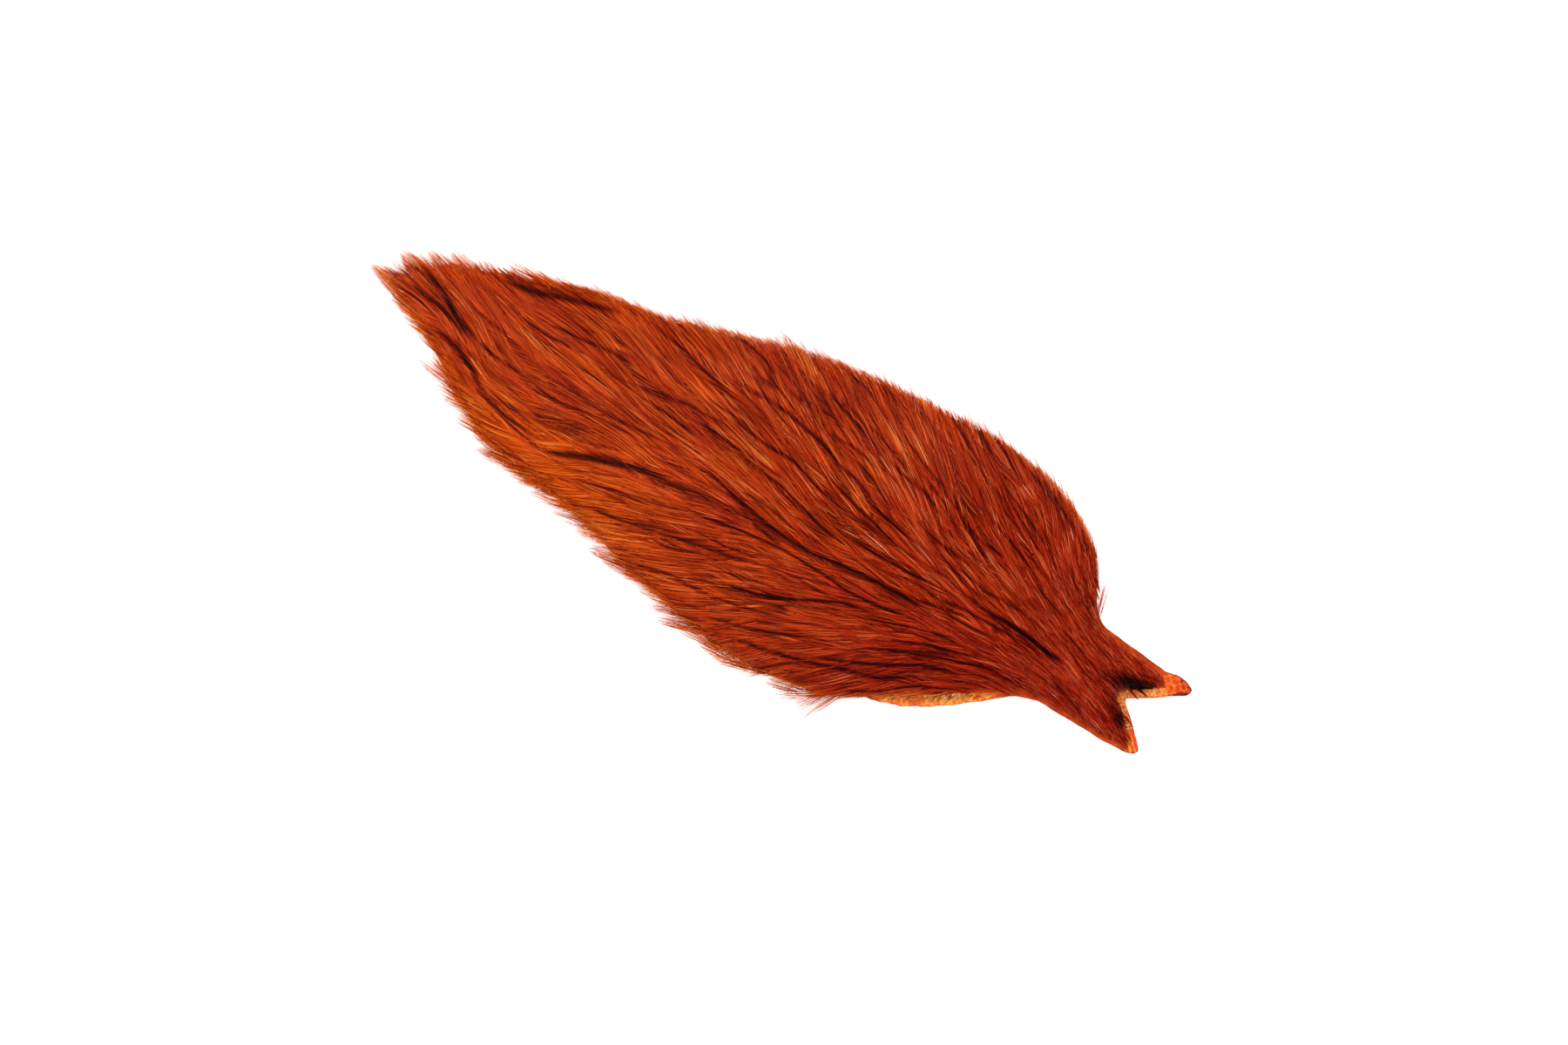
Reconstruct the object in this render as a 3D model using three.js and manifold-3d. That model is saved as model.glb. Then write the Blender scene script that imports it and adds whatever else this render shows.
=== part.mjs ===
// A rooster's neck cape, dried flat: the forked skin of the neck with its coat of hackle feathers still on.
// Millimetres, +Z up. +X runs to the forked head end and +Y is the bird's left. The skin lies on z = 0.
// The feathers grow in rows that overlap from the head end back. Each row is one piece. Each of its locks is
// a tuft of hackles: a tapering ridge that rises over the row behind it and reaches to the tuft's tips.
import * as THREE from 'three';
import Module from 'manifold-3d';
import { mergeVertices } from 'three/addons/utils/BufferGeometryUtils.js';

const wasm = await Module();
wasm.setup();

// Driving dimensions
const SKIN_THICKNESS = 1.2;
const CLEARANCE = 0.3; // between pieces that lie on each other
const COAT_RIM = 2.4; // height of the coat at its outer edge
const NARROWEST_COAT = 1;
const DOME_FULLNESS = 0.7; // the coat's cross-section: 1 is a parabola, less is squarer
const CREST = [[-120, 2.6], [-95, 6.5], [-60, 11.5], [-10, 15.5], [30, 16], [60, 12.5], [85, 8], [118, 4.6]];
const SKIN_FINISH = { color: 0xc9701f, roughness: 0.5, metalness: 0 };
const HACKLE_FINISH = { roughness: 0.55, metalness: 0 };
const HACKLE_COLOURS = { mantle: 0x9c3d17, crown: 0x84200f };

// Outline of the skin, from the end of the fork's left arm round the notch and the right arm to the butt
const SKIN_OUTLINE = [
  [117, 7.7], [119.8, 6.6], [120, 5.8], [119.4, 4.5], [116, 2.6], [110.8, -0.6], [105.2, -3.6],
  [109.8, -8.4], [114.9, -14.2], [114.2, -15.4], [112.2, -16], [103.7, -15.9], [85.6, -14.6], [78.8, -16.5],
  [72, -22], [58.4, -30.8], [40.2, -36.5], [26.6, -37.4], [4, -36.5], [-23.2, -29.7], [-50.4, -22.2],
  [-61.8, -17.7], [-68.6, -7.5], [-70.8, 4], [-68.6, 13], [-59.5, 20.9], [-45.9, 24.2], [-14.2, 32.9],
  [4, 36.7], [40.2, 39], [53.8, 37.8], [67.4, 34.2], [76.5, 29.2], [82.2, 23.8], [86, 17.9], [88.3, 13.4],
  [91, 10.7], [103.7, 8.6], [111.6, 7.5], [114.4, 8.1],
];

// Edges of the feather coat, where the hackles' tips end, as y at each x
const LEFT_EDGE = [
  [-120, 6], [-113.9, 11.1], [-104.8, 15.6], [-86.7, 22.2], [-64, 27.4], [-50.4, 28.8], [-23.2, 35.6],
  [-14.2, 38.3], [4, 40.8], [40.2, 42.2], [58.4, 39.4], [67.4, 36.3], [76.5, 30.8], [81, 27], [85.1, 21.1],
  [87.4, 16.1], [91, 10.4], [103.7, 8.2], [118, 7],
];
const RIGHT_EDGE = [
  [-120, 6], [-113.9, 2.9], [-98, -5.2], [-82.2, -16.5], [-73.1, -21.5], [-64, -24.2], [-50.4, -26.1],
  [-36.8, -29.7], [-27.8, -33.3], [-14.2, -36.9], [4, -41.2], [17.6, -41.9], [35.7, -39.7], [49.3, -32],
  [72, -19.9], [81, -14.5], [103.7, -15.4], [118, -15],
];

// How the feathers lie, in degrees from -X towards the left, on both sides of the parting at a given y
const LEFT_FAN = [[-110, 0], [-60, 4], [-35, 11], [-10, 18], [85, 22]];
const RIGHT_FAN = [[-110, 12], [-70, 3], [-40, -7], [0, -12], [31, -17], [70, -19]];
const PARTING = [[0, -14], [30, -8]];
const PARTING_SOFTNESS = 14;
const FORK = { rightAngle: 14, leftAngle: 0, x: [78, 92], y: [-8, 8] }; // over these x and y the way turns

// Each row: the x that its middle grows at, the y of its first and last lock, its locks' number and length,
// and its bow, the y at which the roots stand 1 mm further back than the middle
const ROWS = [
  { name: 'mantle_hackles', x: -44, y: [-18, 21], locks: 9, length: 80, bow: 12 },
  { name: 'shoulder_hackles', x: -18, y: [-29, 30], locks: 10, length: 64, bow: 14 },
  { name: 'lower_neck_hackles', x: 8, y: [-35, 35], locks: 11, length: 56, bow: 15 },
  { name: 'middle_neck_hackles', x: 32, y: [-36, 37], locks: 11, length: 48, bow: 15 },
  { name: 'upper_neck_hackles', x: 53, y: [-30, 36], locks: 10, length: 40, bow: 14 },
  { name: 'nape_hackles', x: 72, y: [-21, 31], locks: 9, length: 33, bow: 11 },
  { name: 'crown_hackles', x: 89, y: [-13, 26], locks: 9, length: 28, bow: 8 },
  { name: 'right_arm_hackles', x: 109, y: [-14.3, -8.5], locks: 3, length: 26, bow: 100 },
  { name: 'left_arm_hackles', x: 112, y: [0.6, 6.2], locks: 3, length: 28, bow: 100 },
];
const SHORTEST_LOCK = 12;
const LOCK_OVERLAP = 0.84; // half a lock's width, as a share of the distance between two roots

// Sections of a lock: how far along it each stands, and its width and height as shares of the whole there
const LOCK_SECTIONS = [
  { at: 0, width: 0.8, height: 0.32 },
  { at: 0.32, width: 1, height: 0.64 },
  { at: 0.64, width: 0.9, height: 0.86 },
  { at: 0.87, width: 0.6, height: 0.97 },
  { at: 1, width: 0.06, height: 0.84 },
];
const RIDGE = [[-1, 0.42], [-0.5, 0.12], [0, 0], [0.5, 0.12], [1, 0.42]]; // across, and how far it drops
const LOWEST_RIDGE = 0.8;
const STEP = 1; // along a lock's route

const { degToRad, lerp, clamp, smoothstep } = THREE.MathUtils;

// The value at x in a list of [x, value] pairs, straight between them
function along(pairs, x) {
  const after = pairs.findIndex(([at]) => at >= x);
  if (after === 0) return pairs[0][1];
  if (after < 0) return pairs[pairs.length - 1][1];
  const [[x0, v0], [x1, v1]] = [pairs[after - 1], pairs[after]];
  return lerp(v0, v1, (x - x0) / (x1 - x0));
}

// Where a point is across the coat: -1 on the right edge, 1 on the left edge
function across(x, y) {
  const [right, left] = [along(RIGHT_EDGE, x), along(LEFT_EDGE, x)];
  return (2 * y - right - left) / Math.max(left - right, NARROWEST_COAT);
}

// Height of the coat above the table, a low dome that falls to the rim
function coatHeight(x, y) {
  const t = clamp(across(x, y), -1, 1);
  return COAT_RIM + (along(CREST, x) - COAT_RIM) * Math.pow(1 - t * t, DOME_FULLNESS);
}

// Direction in which a feather lies, as a unit vector
function lie(x, y) {
  const parting = along(PARTING, x);
  const side = smoothstep(y, parting - PARTING_SOFTNESS, parting + PARTING_SOFTNESS);
  const neck = lerp(along(RIGHT_FAN, x), along(LEFT_FAN, x), side);
  const arm = lerp(FORK.rightAngle, FORK.leftAngle, smoothstep(y, ...FORK.y));
  const angle = degToRad(lerp(neck, arm, smoothstep(x, ...FORK.x)));
  return new THREE.Vector2(-Math.cos(angle), Math.sin(angle));
}

// Points from a root along the way the feathers lie, as far as the lock's length or the edge of the coat
function route(root, length) {
  const points = [root.clone()];
  for (let gone = 0; gone < length; gone += STEP) {
    const last = points[points.length - 1];
    if (last.x < RIGHT_EDGE[0][0] || Math.abs(across(last.x, last.y)) > 1) break;
    points.push(last.clone().addScaledVector(lie(last.x, last.y), STEP));
  }
  return points;
}

function solidOf(vertProperties, triVerts) {
  return new wasm.Manifold(new wasm.Mesh({ numProp: 3, vertProperties, triVerts }));
}

// A closed solid through rings of points, all of the same number, with flat ends
function loft(rings) {
  const count = rings[0].length;
  const last = (rings.length - 1) * count;
  const faces = [];
  for (let start = 0; start < last; start += count) {
    for (let j = 0; j < count; j++) {
      const [a, b] = [start + j, start + ((j + 1) % count)];
      faces.push(a, b, a + count, b, b + count, a + count);
    }
  }
  for (let j = 1; j + 1 < count; j++) faces.push(0, j + 1, j, last, last + j, last + j + 1);
  const corners = rings.flat().flatMap((point) => point.toArray());
  return solidOf(new Float32Array(corners), new Uint32Array(faces));
}

// One lock, which stands on the table under its ridge. Grown, it is fatter all round by the margin.
function lock(points, halfWidth, margin) {
  const tip = points.length - 1;
  const rings = LOCK_SECTIONS.map(({ at, width, height }) => {
    const middle = points[Math.round(at * tip)];
    const way = lie(middle.x, middle.y);
    const side = new THREE.Vector2(way.y, -way.x);
    const push = at === 0 ? -margin : at === 1 ? margin : 0;
    const top = coatHeight(middle.x, middle.y) * height;
    const ridge = RIDGE.map(([u, drop]) => {
      const point = middle.clone().addScaledVector(way, push);
      point.addScaledVector(side, u * (halfWidth * width + margin));
      const z = Math.max(top - drop * halfWidth * width, LOWEST_RIDGE) + margin;
      return new THREE.Vector3(point.x, point.y, z);
    });
    const feet = [ridge[ridge.length - 1], ridge[0]].map((p) => new THREE.Vector3(p.x, p.y, -margin));
    return [...ridge, ...feet];
  });
  return loft(rings);
}

// A row's locks, fused
function rowOfLocks({ x, y, locks, length, bow }, margin = 0) {
  const spacing = (y[1] - y[0]) / (locks - 1);
  return Array.from({ length: locks }, (_, i) => y[0] + i * spacing)
    .map((rootY) => route(new THREE.Vector2(x - (rootY / bow) ** 2, rootY), length))
    .filter((points) => points.length * STEP > SHORTEST_LOCK)
    .map((points) => lock(points, spacing * LOCK_OVERLAP, margin))
    .reduce((row, one) => row.add(one));
}

// The flat plate of skin between two heights, with its outline moved out by a margin
function skinPlate(margin, bottom, top) {
  const corners = SKIN_OUTLINE.map(([x, y]) => new THREE.Vector2(x, y));
  const count = corners.length;
  const outline = corners.map((corner, i) => {
    const run = corners[(i + 1) % count].clone().sub(corners[(i + count - 1) % count]).normalize();
    return corner.clone().addScaledVector(new THREE.Vector2(-run.y, run.x), margin);
  });
  const extrusion = { depth: top - bottom, bevelEnabled: false };
  return new THREE.ExtrudeGeometry(new THREE.Shape(outline), extrusion).translate(0, 0, bottom);
}

function toSolid(geometry) {
  const bare = geometry.clone();
  bare.deleteAttribute('normal');
  bare.deleteAttribute('uv');
  const merged = mergeVertices(bare);
  return solidOf(merged.attributes.position.array, new Uint32Array(merged.index.array));
}

function toGeometry(solid) {
  const { vertProperties, triVerts } = solid.getMesh();
  const geometry = new THREE.BufferGeometry();
  geometry.setAttribute('position', new THREE.BufferAttribute(vertProperties, 3));
  geometry.setIndex(new THREE.BufferAttribute(triVerts, 1));
  geometry.computeVertexNormals();
  return geometry;
}

// The main body of a cut solid, without crumbs that a cut has freed
function mainBody(solid) {
  return solid.decompose().reduce((most, body) => (body.volume() > most.volume() ? body : most));
}

function piece(name, geometry, finish) {
  const mesh = new THREE.Mesh(geometry, new THREE.MeshStandardMaterial(finish));
  mesh.name = name;
  return mesh;
}

const cape = new THREE.Group();
cape.add(piece('skin', skinPlate(0, 0, SKIN_THICKNESS), SKIN_FINISH));

// The rows are laid from the back forwards, each cut clear of the skin and of the rows that it lies on.
let below = toSolid(skinPlate(CLEARANCE, -CLEARANCE, SKIN_THICKNESS + CLEARANCE));
ROWS.forEach((row, i) => {
  const hackles = mainBody(rowOfLocks(row).subtract(below));
  const color = new THREE.Color(HACKLE_COLOURS.mantle);
  color.lerp(new THREE.Color(HACKLE_COLOURS.crown), i / (ROWS.length - 1));
  cape.add(piece(row.name, toGeometry(hackles), { ...HACKLE_FINISH, color }));
  below = below.add(rowOfLocks(row, CLEARANCE));
});

// The origin is under the middle of the cape.
const middle = new THREE.Box3().setFromObject(cape).getCenter(new THREE.Vector3());
cape.position.set(-middle.x, -middle.y, 0);

export default cape;
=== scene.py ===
# %% [markdown]
# A rooster's neck cape, dried flat. The skin of the neck lies on the table with its feathers up, and a fork
# at its head end shows where it was cut round the comb. Hundreds of hackle feathers grow in it and point
# back. The frame brings the solid of the skin and one solid for each row of hackles. This script keeps their
# places and gives each row its real surface: feathers whose fine, dyed barbs spread to both sides of a shaft.

# %% Load the frame
import math

import bpy
import numpy as np
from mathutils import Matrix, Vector
from mathutils.geometry import delaunay_2d_cdt


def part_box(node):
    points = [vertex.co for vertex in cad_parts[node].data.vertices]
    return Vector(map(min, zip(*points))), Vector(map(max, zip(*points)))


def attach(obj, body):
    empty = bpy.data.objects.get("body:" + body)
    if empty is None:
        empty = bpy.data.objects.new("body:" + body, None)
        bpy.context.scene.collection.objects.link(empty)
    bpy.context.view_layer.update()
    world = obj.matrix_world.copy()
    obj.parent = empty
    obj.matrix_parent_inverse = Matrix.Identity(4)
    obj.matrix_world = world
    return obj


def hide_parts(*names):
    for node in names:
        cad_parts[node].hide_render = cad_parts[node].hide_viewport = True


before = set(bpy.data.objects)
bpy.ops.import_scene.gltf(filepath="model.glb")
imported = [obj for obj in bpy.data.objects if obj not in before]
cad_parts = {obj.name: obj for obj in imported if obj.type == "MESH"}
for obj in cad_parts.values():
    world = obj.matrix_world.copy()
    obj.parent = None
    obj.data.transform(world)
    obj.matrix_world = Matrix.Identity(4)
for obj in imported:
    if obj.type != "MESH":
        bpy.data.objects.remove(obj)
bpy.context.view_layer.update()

MM = 0.001
random = np.random.default_rng(27)

# %% [markdown]
# All shapes are worked out in millimetres in the cape's own plan: +X to the head end, +Y to the bird's left.
# The outlines that shape the solids come first, because the feathers follow them too. A curve object could
# hold them, but a list of pairs, read with straight lines between them, is plainer and quick to look up.

# %% Plan of the cape, in millimetres
LEFT_EDGE = [
    (-120, 6), (-113.9, 11.1), (-104.8, 15.6), (-86.7, 22.2), (-64, 27.4), (-50.4, 28.8), (-23.2, 35.6),
    (-14.2, 38.3), (4, 40.8), (40.2, 42.2), (58.4, 39.4), (67.4, 36.3), (76.5, 30.8), (81, 27), (85.1, 21.1),
    (87.4, 16.1), (91, 10.4), (103.7, 8.2), (118, 7),
]
RIGHT_EDGE = [
    (-120, 6), (-113.9, 2.9), (-98, -5.2), (-82.2, -16.5), (-73.1, -21.5), (-64, -24.2), (-50.4, -26.1),
    (-36.8, -29.7), (-27.8, -33.3), (-14.2, -36.9), (4, -41.2), (17.6, -41.9), (35.7, -39.7), (49.3, -32),
    (72, -19.9), (81, -14.5), (103.7, -15.4), (118, -15),
]
CREST = [(-120, 2.6), (-95, 6.5), (-60, 11.5), (-10, 15.5), (30, 16), (60, 12.5), (85, 8), (118, 4.6)]
NARROWEST_COAT = 1
COAT_RIM = 2.4
DOME_FULLNESS = 0.7
TAIL_END = -118
OUTSIDE_FALL = 7
NOTCH_SLOPE = 0.8
DROOP = 0.66
NOTCH = (105.2, -3.6)
NOTCH_LEFT = [NOTCH, (119.4, 4.5)]
NOTCH_RIGHT = [NOTCH, (114.9, -14.2)]
SKIN_THICKNESS = 1.2
SKIN_OUTLINE = [
    (117, 7.7), (119.8, 6.6), (120, 5.8), (119.4, 4.5), (116, 2.6), (110.8, -0.6), (105.2, -3.6),
    (109.8, -8.4), (114.9, -14.2), (114.2, -15.4), (112.2, -16), (103.7, -15.9), (85.6, -14.6),
    (78.8, -16.5), (72, -22), (58.4, -30.8), (40.2, -36.5), (26.6, -37.4), (4, -36.5), (-23.2, -29.7),
    (-50.4, -22.2), (-61.8, -17.7), (-68.6, -7.5), (-70.8, 4), (-68.6, 13), (-59.5, 20.9), (-45.9, 24.2),
    (-14.2, 32.9), (4, 36.7), (40.2, 39), (53.8, 37.8), (67.4, 34.2), (76.5, 29.2), (82.2, 23.8),
    (86, 17.9), (88.3, 13.4), (91, 10.7), (103.7, 8.6), (111.6, 7.5), (114.4, 8.1),
]
FORK_COAT = [
    (90.5, 9.8), (96, 8.7), (102.4, 7.7), (107.6, 7), (111.2, 6.6), (113, 4.9), (113.8, 3.6), (112, 2.3),
    (108, -0.4), (106, -1.9), (104.2, -2.6), (103.7, -4), (105.2, -5.4), (106.9, -7.2), (108.3, -9.2),
    (110.2, -12), (112.6, -13.7), (111.8, -15), (103.8, -15.2), (85.6, -14), (80.5, -15), (76.5, -17.6),
]
COAT_OUTLINE = LEFT_EDGE[:-3] + FORK_COAT + RIGHT_EDGE[:0:-1][3:]


def along(pairs, x):
    """Value at x in a list of pairs, on the straight line between the two nearest."""
    at, value = np.array(pairs, float).T
    return np.interp(x, at, value)


def smooth(low, high, x):
    """0 below low and 1 above high, on the S-shaped curve 3t^2 - 2t^3 between them."""
    t = np.clip((x - low) / (high - low), 0, 1)
    return t * t * (3 - 2 * t)


def mix(a, b, share):
    """The value that lies at this share of the way from a to b."""
    return a + (b - a) * share


def across(x, y):
    """Where a point is between the coat's edges: -1 on the right edge and 1 on the left one."""
    right, left = along(RIGHT_EDGE, x), along(LEFT_EDGE, x)
    return (2 * y - right - left) / np.maximum(left - right, NARROWEST_COAT)


def inside_edge(points, edge):
    """True for points inside an outline, by counting its crossings with a ray."""
    x, y = points[:, :1], points[:, 1:]
    ax, ay = np.array(edge, float).T
    bx, by = np.roll(ax, -1), np.roll(ay, -1)
    crosses = (ay > y) != (by > y)
    meets = ax + (y - ay) * (bx - ax) / np.where(by == ay, 1e-9, by - ay)
    return (crosses & (x < meets)).sum(axis=1) % 2 == 1


def line_gap(x, y, line):
    """Distance in plan to the nearest straight piece of a line, given as a list of points."""
    near = np.full(np.shape(x), np.inf)
    for (ax, ay), (bx, by) in zip(line[:-1], line[1:]):
        run, rise = bx - ax, by - ay
        share = np.clip(((x - ax) * run + (y - ay) * rise) / (run * run + rise * rise), 0, 1)
        near = np.minimum(near, np.hypot(x - ax - share * run, y - ay - share * rise))
    return near


def outside_of(outline, x, y):
    """How far outside an outline a place is in plan, in millimetres, and less than 0 inside."""
    gap = line_gap(x, y, outline + outline[:1])
    inside = inside_edge(np.column_stack([np.ravel(x), np.ravel(y)]), outline)
    return np.where(inside.reshape(np.shape(x)), -gap, gap)


def beyond_edge(x, y):
    """How far a place is outside the coat's outline."""
    return outside_of(COAT_OUTLINE, x, y)


def walked(line):
    """How far along a line of straight pieces each of its points is."""
    return np.concatenate([[0], np.cumsum(np.linalg.norm(np.diff(line, axis=0), axis=1))])


def places_on(line, at):
    """The x and the y of the places that are so far along a line of straight pieces."""
    gone = walked(line)
    return np.interp(at, gone, line[:, 0]), np.interp(at, gone, line[:, 1])


def coat_height(x, y):
    """Height of the coat: above the rim, the crest's height times (1 - t^2)^0.7, where t is the place across.
    Outside the edge it falls as exp(-d / 7), and beside the notch it is a slope."""
    t = across(x, y)
    dome = np.clip(1 - t * t, 0, 1) ** DOME_FULLNESS
    height = COAT_RIM + (along(CREST, x) - COAT_RIM) * dome
    half = (along(LEFT_EDGE, x) - along(RIGHT_EDGE, x)) / 2
    outside = np.maximum(np.abs(t) - 1, 0) * half + np.maximum(TAIL_END - x, 0)
    notch = np.minimum(line_gap(x, y, NOTCH_LEFT), line_gap(x, y, NOTCH_RIGHT))
    return np.minimum(height * np.exp(-outside / OUTSIDE_FALL), COAT_RIM + NOTCH_SLOPE * notch)


def from_side(x, y):
    """Distance in y to the nearer edge of the coat."""
    half = (along(LEFT_EDGE, x) - along(RIGHT_EDGE, x)) / 2
    return (1 - np.abs(across(x, y))) * half


def droop(x, y):
    """Share of its height that a barb loses: two thirds on the coat's rim and none 4 mm inside it. At the
    head end and along the bare flap the skin reaches the rim and holds the coat up."""
    return DROOP * smooth(4, -0.5, from_side(x, y)) * smooth(42, 22, x)


print("coat", COAT_OUTLINE[0][0], "to", FORK_COAT[6][0], "mm, at most", max(h for _, h in CREST), "mm high")


# %% [markdown]
# Feathers lie back from the head and fan out to both sides of a wandering parting. The fan is held as a map
# of readings: a place and the angle there, in degrees. Between readings the angle is their average, and near
# ones count most. Every shaft is traced through this field, as iron filings show the field of a magnet.

# %% The way the feathers lie
WAYS = [
    (84, 16, 52), (78, 26, 46), (70, 25, 36), (70, 10, 27), (50, 32, 33), (50, 12, 32), (25, 35, 31),
    (25, 14, 30), (8, 32, 27), (8, 12, 22), (-10, 31, 25), (-10, 8, 14), (-28, 29, 22), (-28, 8, 7),
    (-45, 24, 15), (-45, 5, 6), (-62, 21, 0), (-62, 4, 8), (-80, 17, -4), (-80, 5, 20), (-95, 11, 18),
    (-95, 1, 16), (-100, 17, 28), (-106, 14, 24), (-110, 10, 15), (-117, 6, 5), (-110, 1, 0),
    (84, -5, 14), (72, -4, 9), (52, -3, 6), (30, 0, 13), (15, -3, 12), (30, -10, -4), (10, -10, -4),
    (-10, -9, -2), (-30, -9, -4), (-45, -13, -14), (-60, -16, -2), (-60, -8, 4), (-72, -12, 10),
    (-84, -8, 30), (-75, -20, 14), (66, -14, -8), (70, -20, -27), (60, -25, -28), (52, -14, -14),
    (50, -26, -28), (30, -22, -20), (30, -36, -34), (10, -22, -12), (10, -36, -27), (-10, -20, -10),
    (-10, -33, -16), (-30, -22, -9), (-30, -31, -8), (-48, -23, -6), (95, 5, 6), (110, 3, 4),
    (98, -3, 26), (90, -1, 25), (104, -6, 28), (86, 2, 27), (95, -11, 21), (106, -12, 24), (84, -12, 16),
    (76, -17, 0),
]
WAY_REACH = 8


def lie(x, y):
    """Angle in radians, from -X towards +Y, at which a feather lies: the readings' average, weighted with
    exp(-d^2 / 2r^2), and two slow waves of about 4 degrees that end before the fork."""
    at = np.array(WAYS, float)
    gone = (np.expand_dims(x, -1) - at[:, 0]) ** 2 + (np.expand_dims(y, -1) - at[:, 1]) ** 2
    weight = np.exp(-gone / (2 * WAY_REACH ** 2)) + 1e-9
    angle = (weight * at[:, 2]).sum(-1) / weight.sum(-1)
    wander = 4 * np.sin(x / 7 + y / 11) + 3.5 * np.sin(y / 4.3 - x / 12 + 2)
    return np.radians(angle + wander * smooth(100, 70, x))


def trace(x, y, step, count, bend=0.0):
    """Follow the field towards the head from each x, y: each point is the last one plus a step along the
    angle there. Gives count + 1 points of each path, shape (paths, points, 2)."""
    points = [np.stack([x, y], 1)]
    for _ in range(count):
        last = points[-1]
        angle = lie(last[:, 0], last[:, 1]) + bend
        way = np.stack([np.cos(angle), -np.sin(angle)], 1)
        points.append(last + way * np.reshape(step, (-1, 1)))
    return np.stack(points, 1)


print("lie on the middle of the back:", np.degrees(lie(0.0, 0.0)).round(1), "degrees")

# %% [markdown]
# Where do the feathers end? What shows of each feather is its tip, so the tips are placed first and the roots
# follow. Lanes run from the coat's edge towards the head and stop where they crowd an older lane. Each lane
# holds a tip every few millimetres, like slates in a column, so that the dark middles of the feathers join
# into the long streaks of the coat.

# %% Tips along lanes
LANE_SPACING = [(-120, 2.5), (40, 2.6), (75, 2.1), (90, 1.6), (115, 1.3)]
TIP_SPACING = [(-120, 9), (20, 10), (60, 8.5), (85, 6), (100, 4), (115, 3)]
FEATHER_LENGTH = [
    (-120, 78), (-81, 64), (-47, 56), (-15, 48), (14, 40), (40, 33), (62, 27), (84, 20), (115, 12),
]
EDGE_SET_BACK = 2.6
CROWDED = 0.62
SEED_STEP = 0.25
LANE_STEPS = 250
ALWAYS_FREE = 3  # points at a lane's start, on the edge itself
SHORTEST_LANE = 4


def lane_seeds():
    """Points on the coat's edge, spaced so that the lanes that start there are equally far apart."""
    left, right = np.array(LEFT_EDGE[::-1], float), np.array(RIGHT_EDGE[1:], float)
    edge = np.concatenate([left, right])
    x, y = places_on(edge, np.arange(0, walked(edge)[-1], SEED_STEP))
    angle = lie(x, y)
    crossing = np.abs(np.gradient(x) * np.sin(angle) + np.gradient(y) * np.cos(angle)) + 0.02
    lane = np.floor(np.cumsum(crossing / along(LANE_SPACING, x)))
    first = np.flatnonzero(np.diff(lane) > 0)
    return x[first], y[first]


def on_coat(x, y):
    """True where a feather can end or root: inside the coat's outline, and 0.7 mm further in at the fork."""
    return beyond_edge(x, y) < -0.7 * smooth(72, 84, x)


def lanes_on_coat():
    """Lanes traced from the seeds in a random order, each one cut short where it crowds an older lane."""
    x, y = lane_seeds()
    paths = trace(x, y, 1.0, LANE_STEPS)
    start = np.arange(paths.shape[1]) < ALWAYS_FREE
    kept, old = [], np.empty((0, 2))
    for path in paths[random.permutation(len(paths))]:
        free = on_coat(path[:, 0], path[:, 1]) | start
        if len(old):
            gap = np.linalg.norm(path[:, None] - old[None], axis=2).min(axis=1)
            free &= gap > CROWDED * along(LANE_SPACING, path[:, 0])
        path = path[:np.argmin(free) if not free.all() else len(free)]
        if len(path) > SHORTEST_LANE:
            kept.append(path)
            old = np.concatenate([old, path])
    return kept


def tips_on_lanes(lanes):
    """Tips along the lanes, wherever the running count of tips passes a whole number."""
    tips = []
    for path in lanes:
        count = np.cumsum(1 / along(TIP_SPACING, path[:, 0])) + random.uniform(0.3, 1)
        new = np.flatnonzero(np.diff(np.floor(count), prepend=0) > 0)
        first = int(round(random.uniform(0.4, 1.2) * EDGE_SET_BACK))
        new = np.unique(np.maximum(new, min(first, len(path) - 1)))
        tips.append(path[new])
    return np.concatenate(tips).T


lanes = lanes_on_coat()
tip_x, tip_y = tips_on_lanes(lanes)
feathers = len(tip_x)
tip_x = tip_x + random.normal(0, 0.8, feathers)
tip_y = tip_y + random.normal(0, 0.35, feathers)
print(feathers, "feathers on", len(lanes), "lanes")

# %% [markdown]
# A shaft starts in the skin and rises through the coat until its tip lies on top. All rise by one rule, so a
# feather nearer the head ends up over the one behind it. The shaft itself is thinner than a millimetre
# and lies under the barbs, so it is kept as a path only, for the barbs to grow from.

# %% Shafts
SHAFT_STEPS = 24
SHAFT_RISE = 1.9
TIP_STEPS = 8  # of a shaft hold even outside the coat
length = along(FEATHER_LENGTH, tip_x) * random.uniform(0.9, 1.08, feathers)
bend = np.radians(random.normal(0, 2.0, feathers))
lift = random.normal(0, 0.1, feathers)


def shaft_paths(length):
    """Paths from tip to root in SHAFT_STEPS equal steps, in plan."""
    return trace(tip_x, tip_y, length / SHAFT_STEPS, SHAFT_STEPS, bend)


paths = shaft_paths(length)
holds = (np.arange(SHAFT_STEPS + 1) < TIP_STEPS) | on_coat(paths[..., 0], paths[..., 1])
holds = np.logical_and.accumulate(holds, axis=1)
length = length * (holds.sum(1) - 1) / SHAFT_STEPS
paths = shaft_paths(length)[:, ::-1]
print("shafts", paths.shape, "lengths", length.min().round(1), "to", length.max().round(1))
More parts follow.
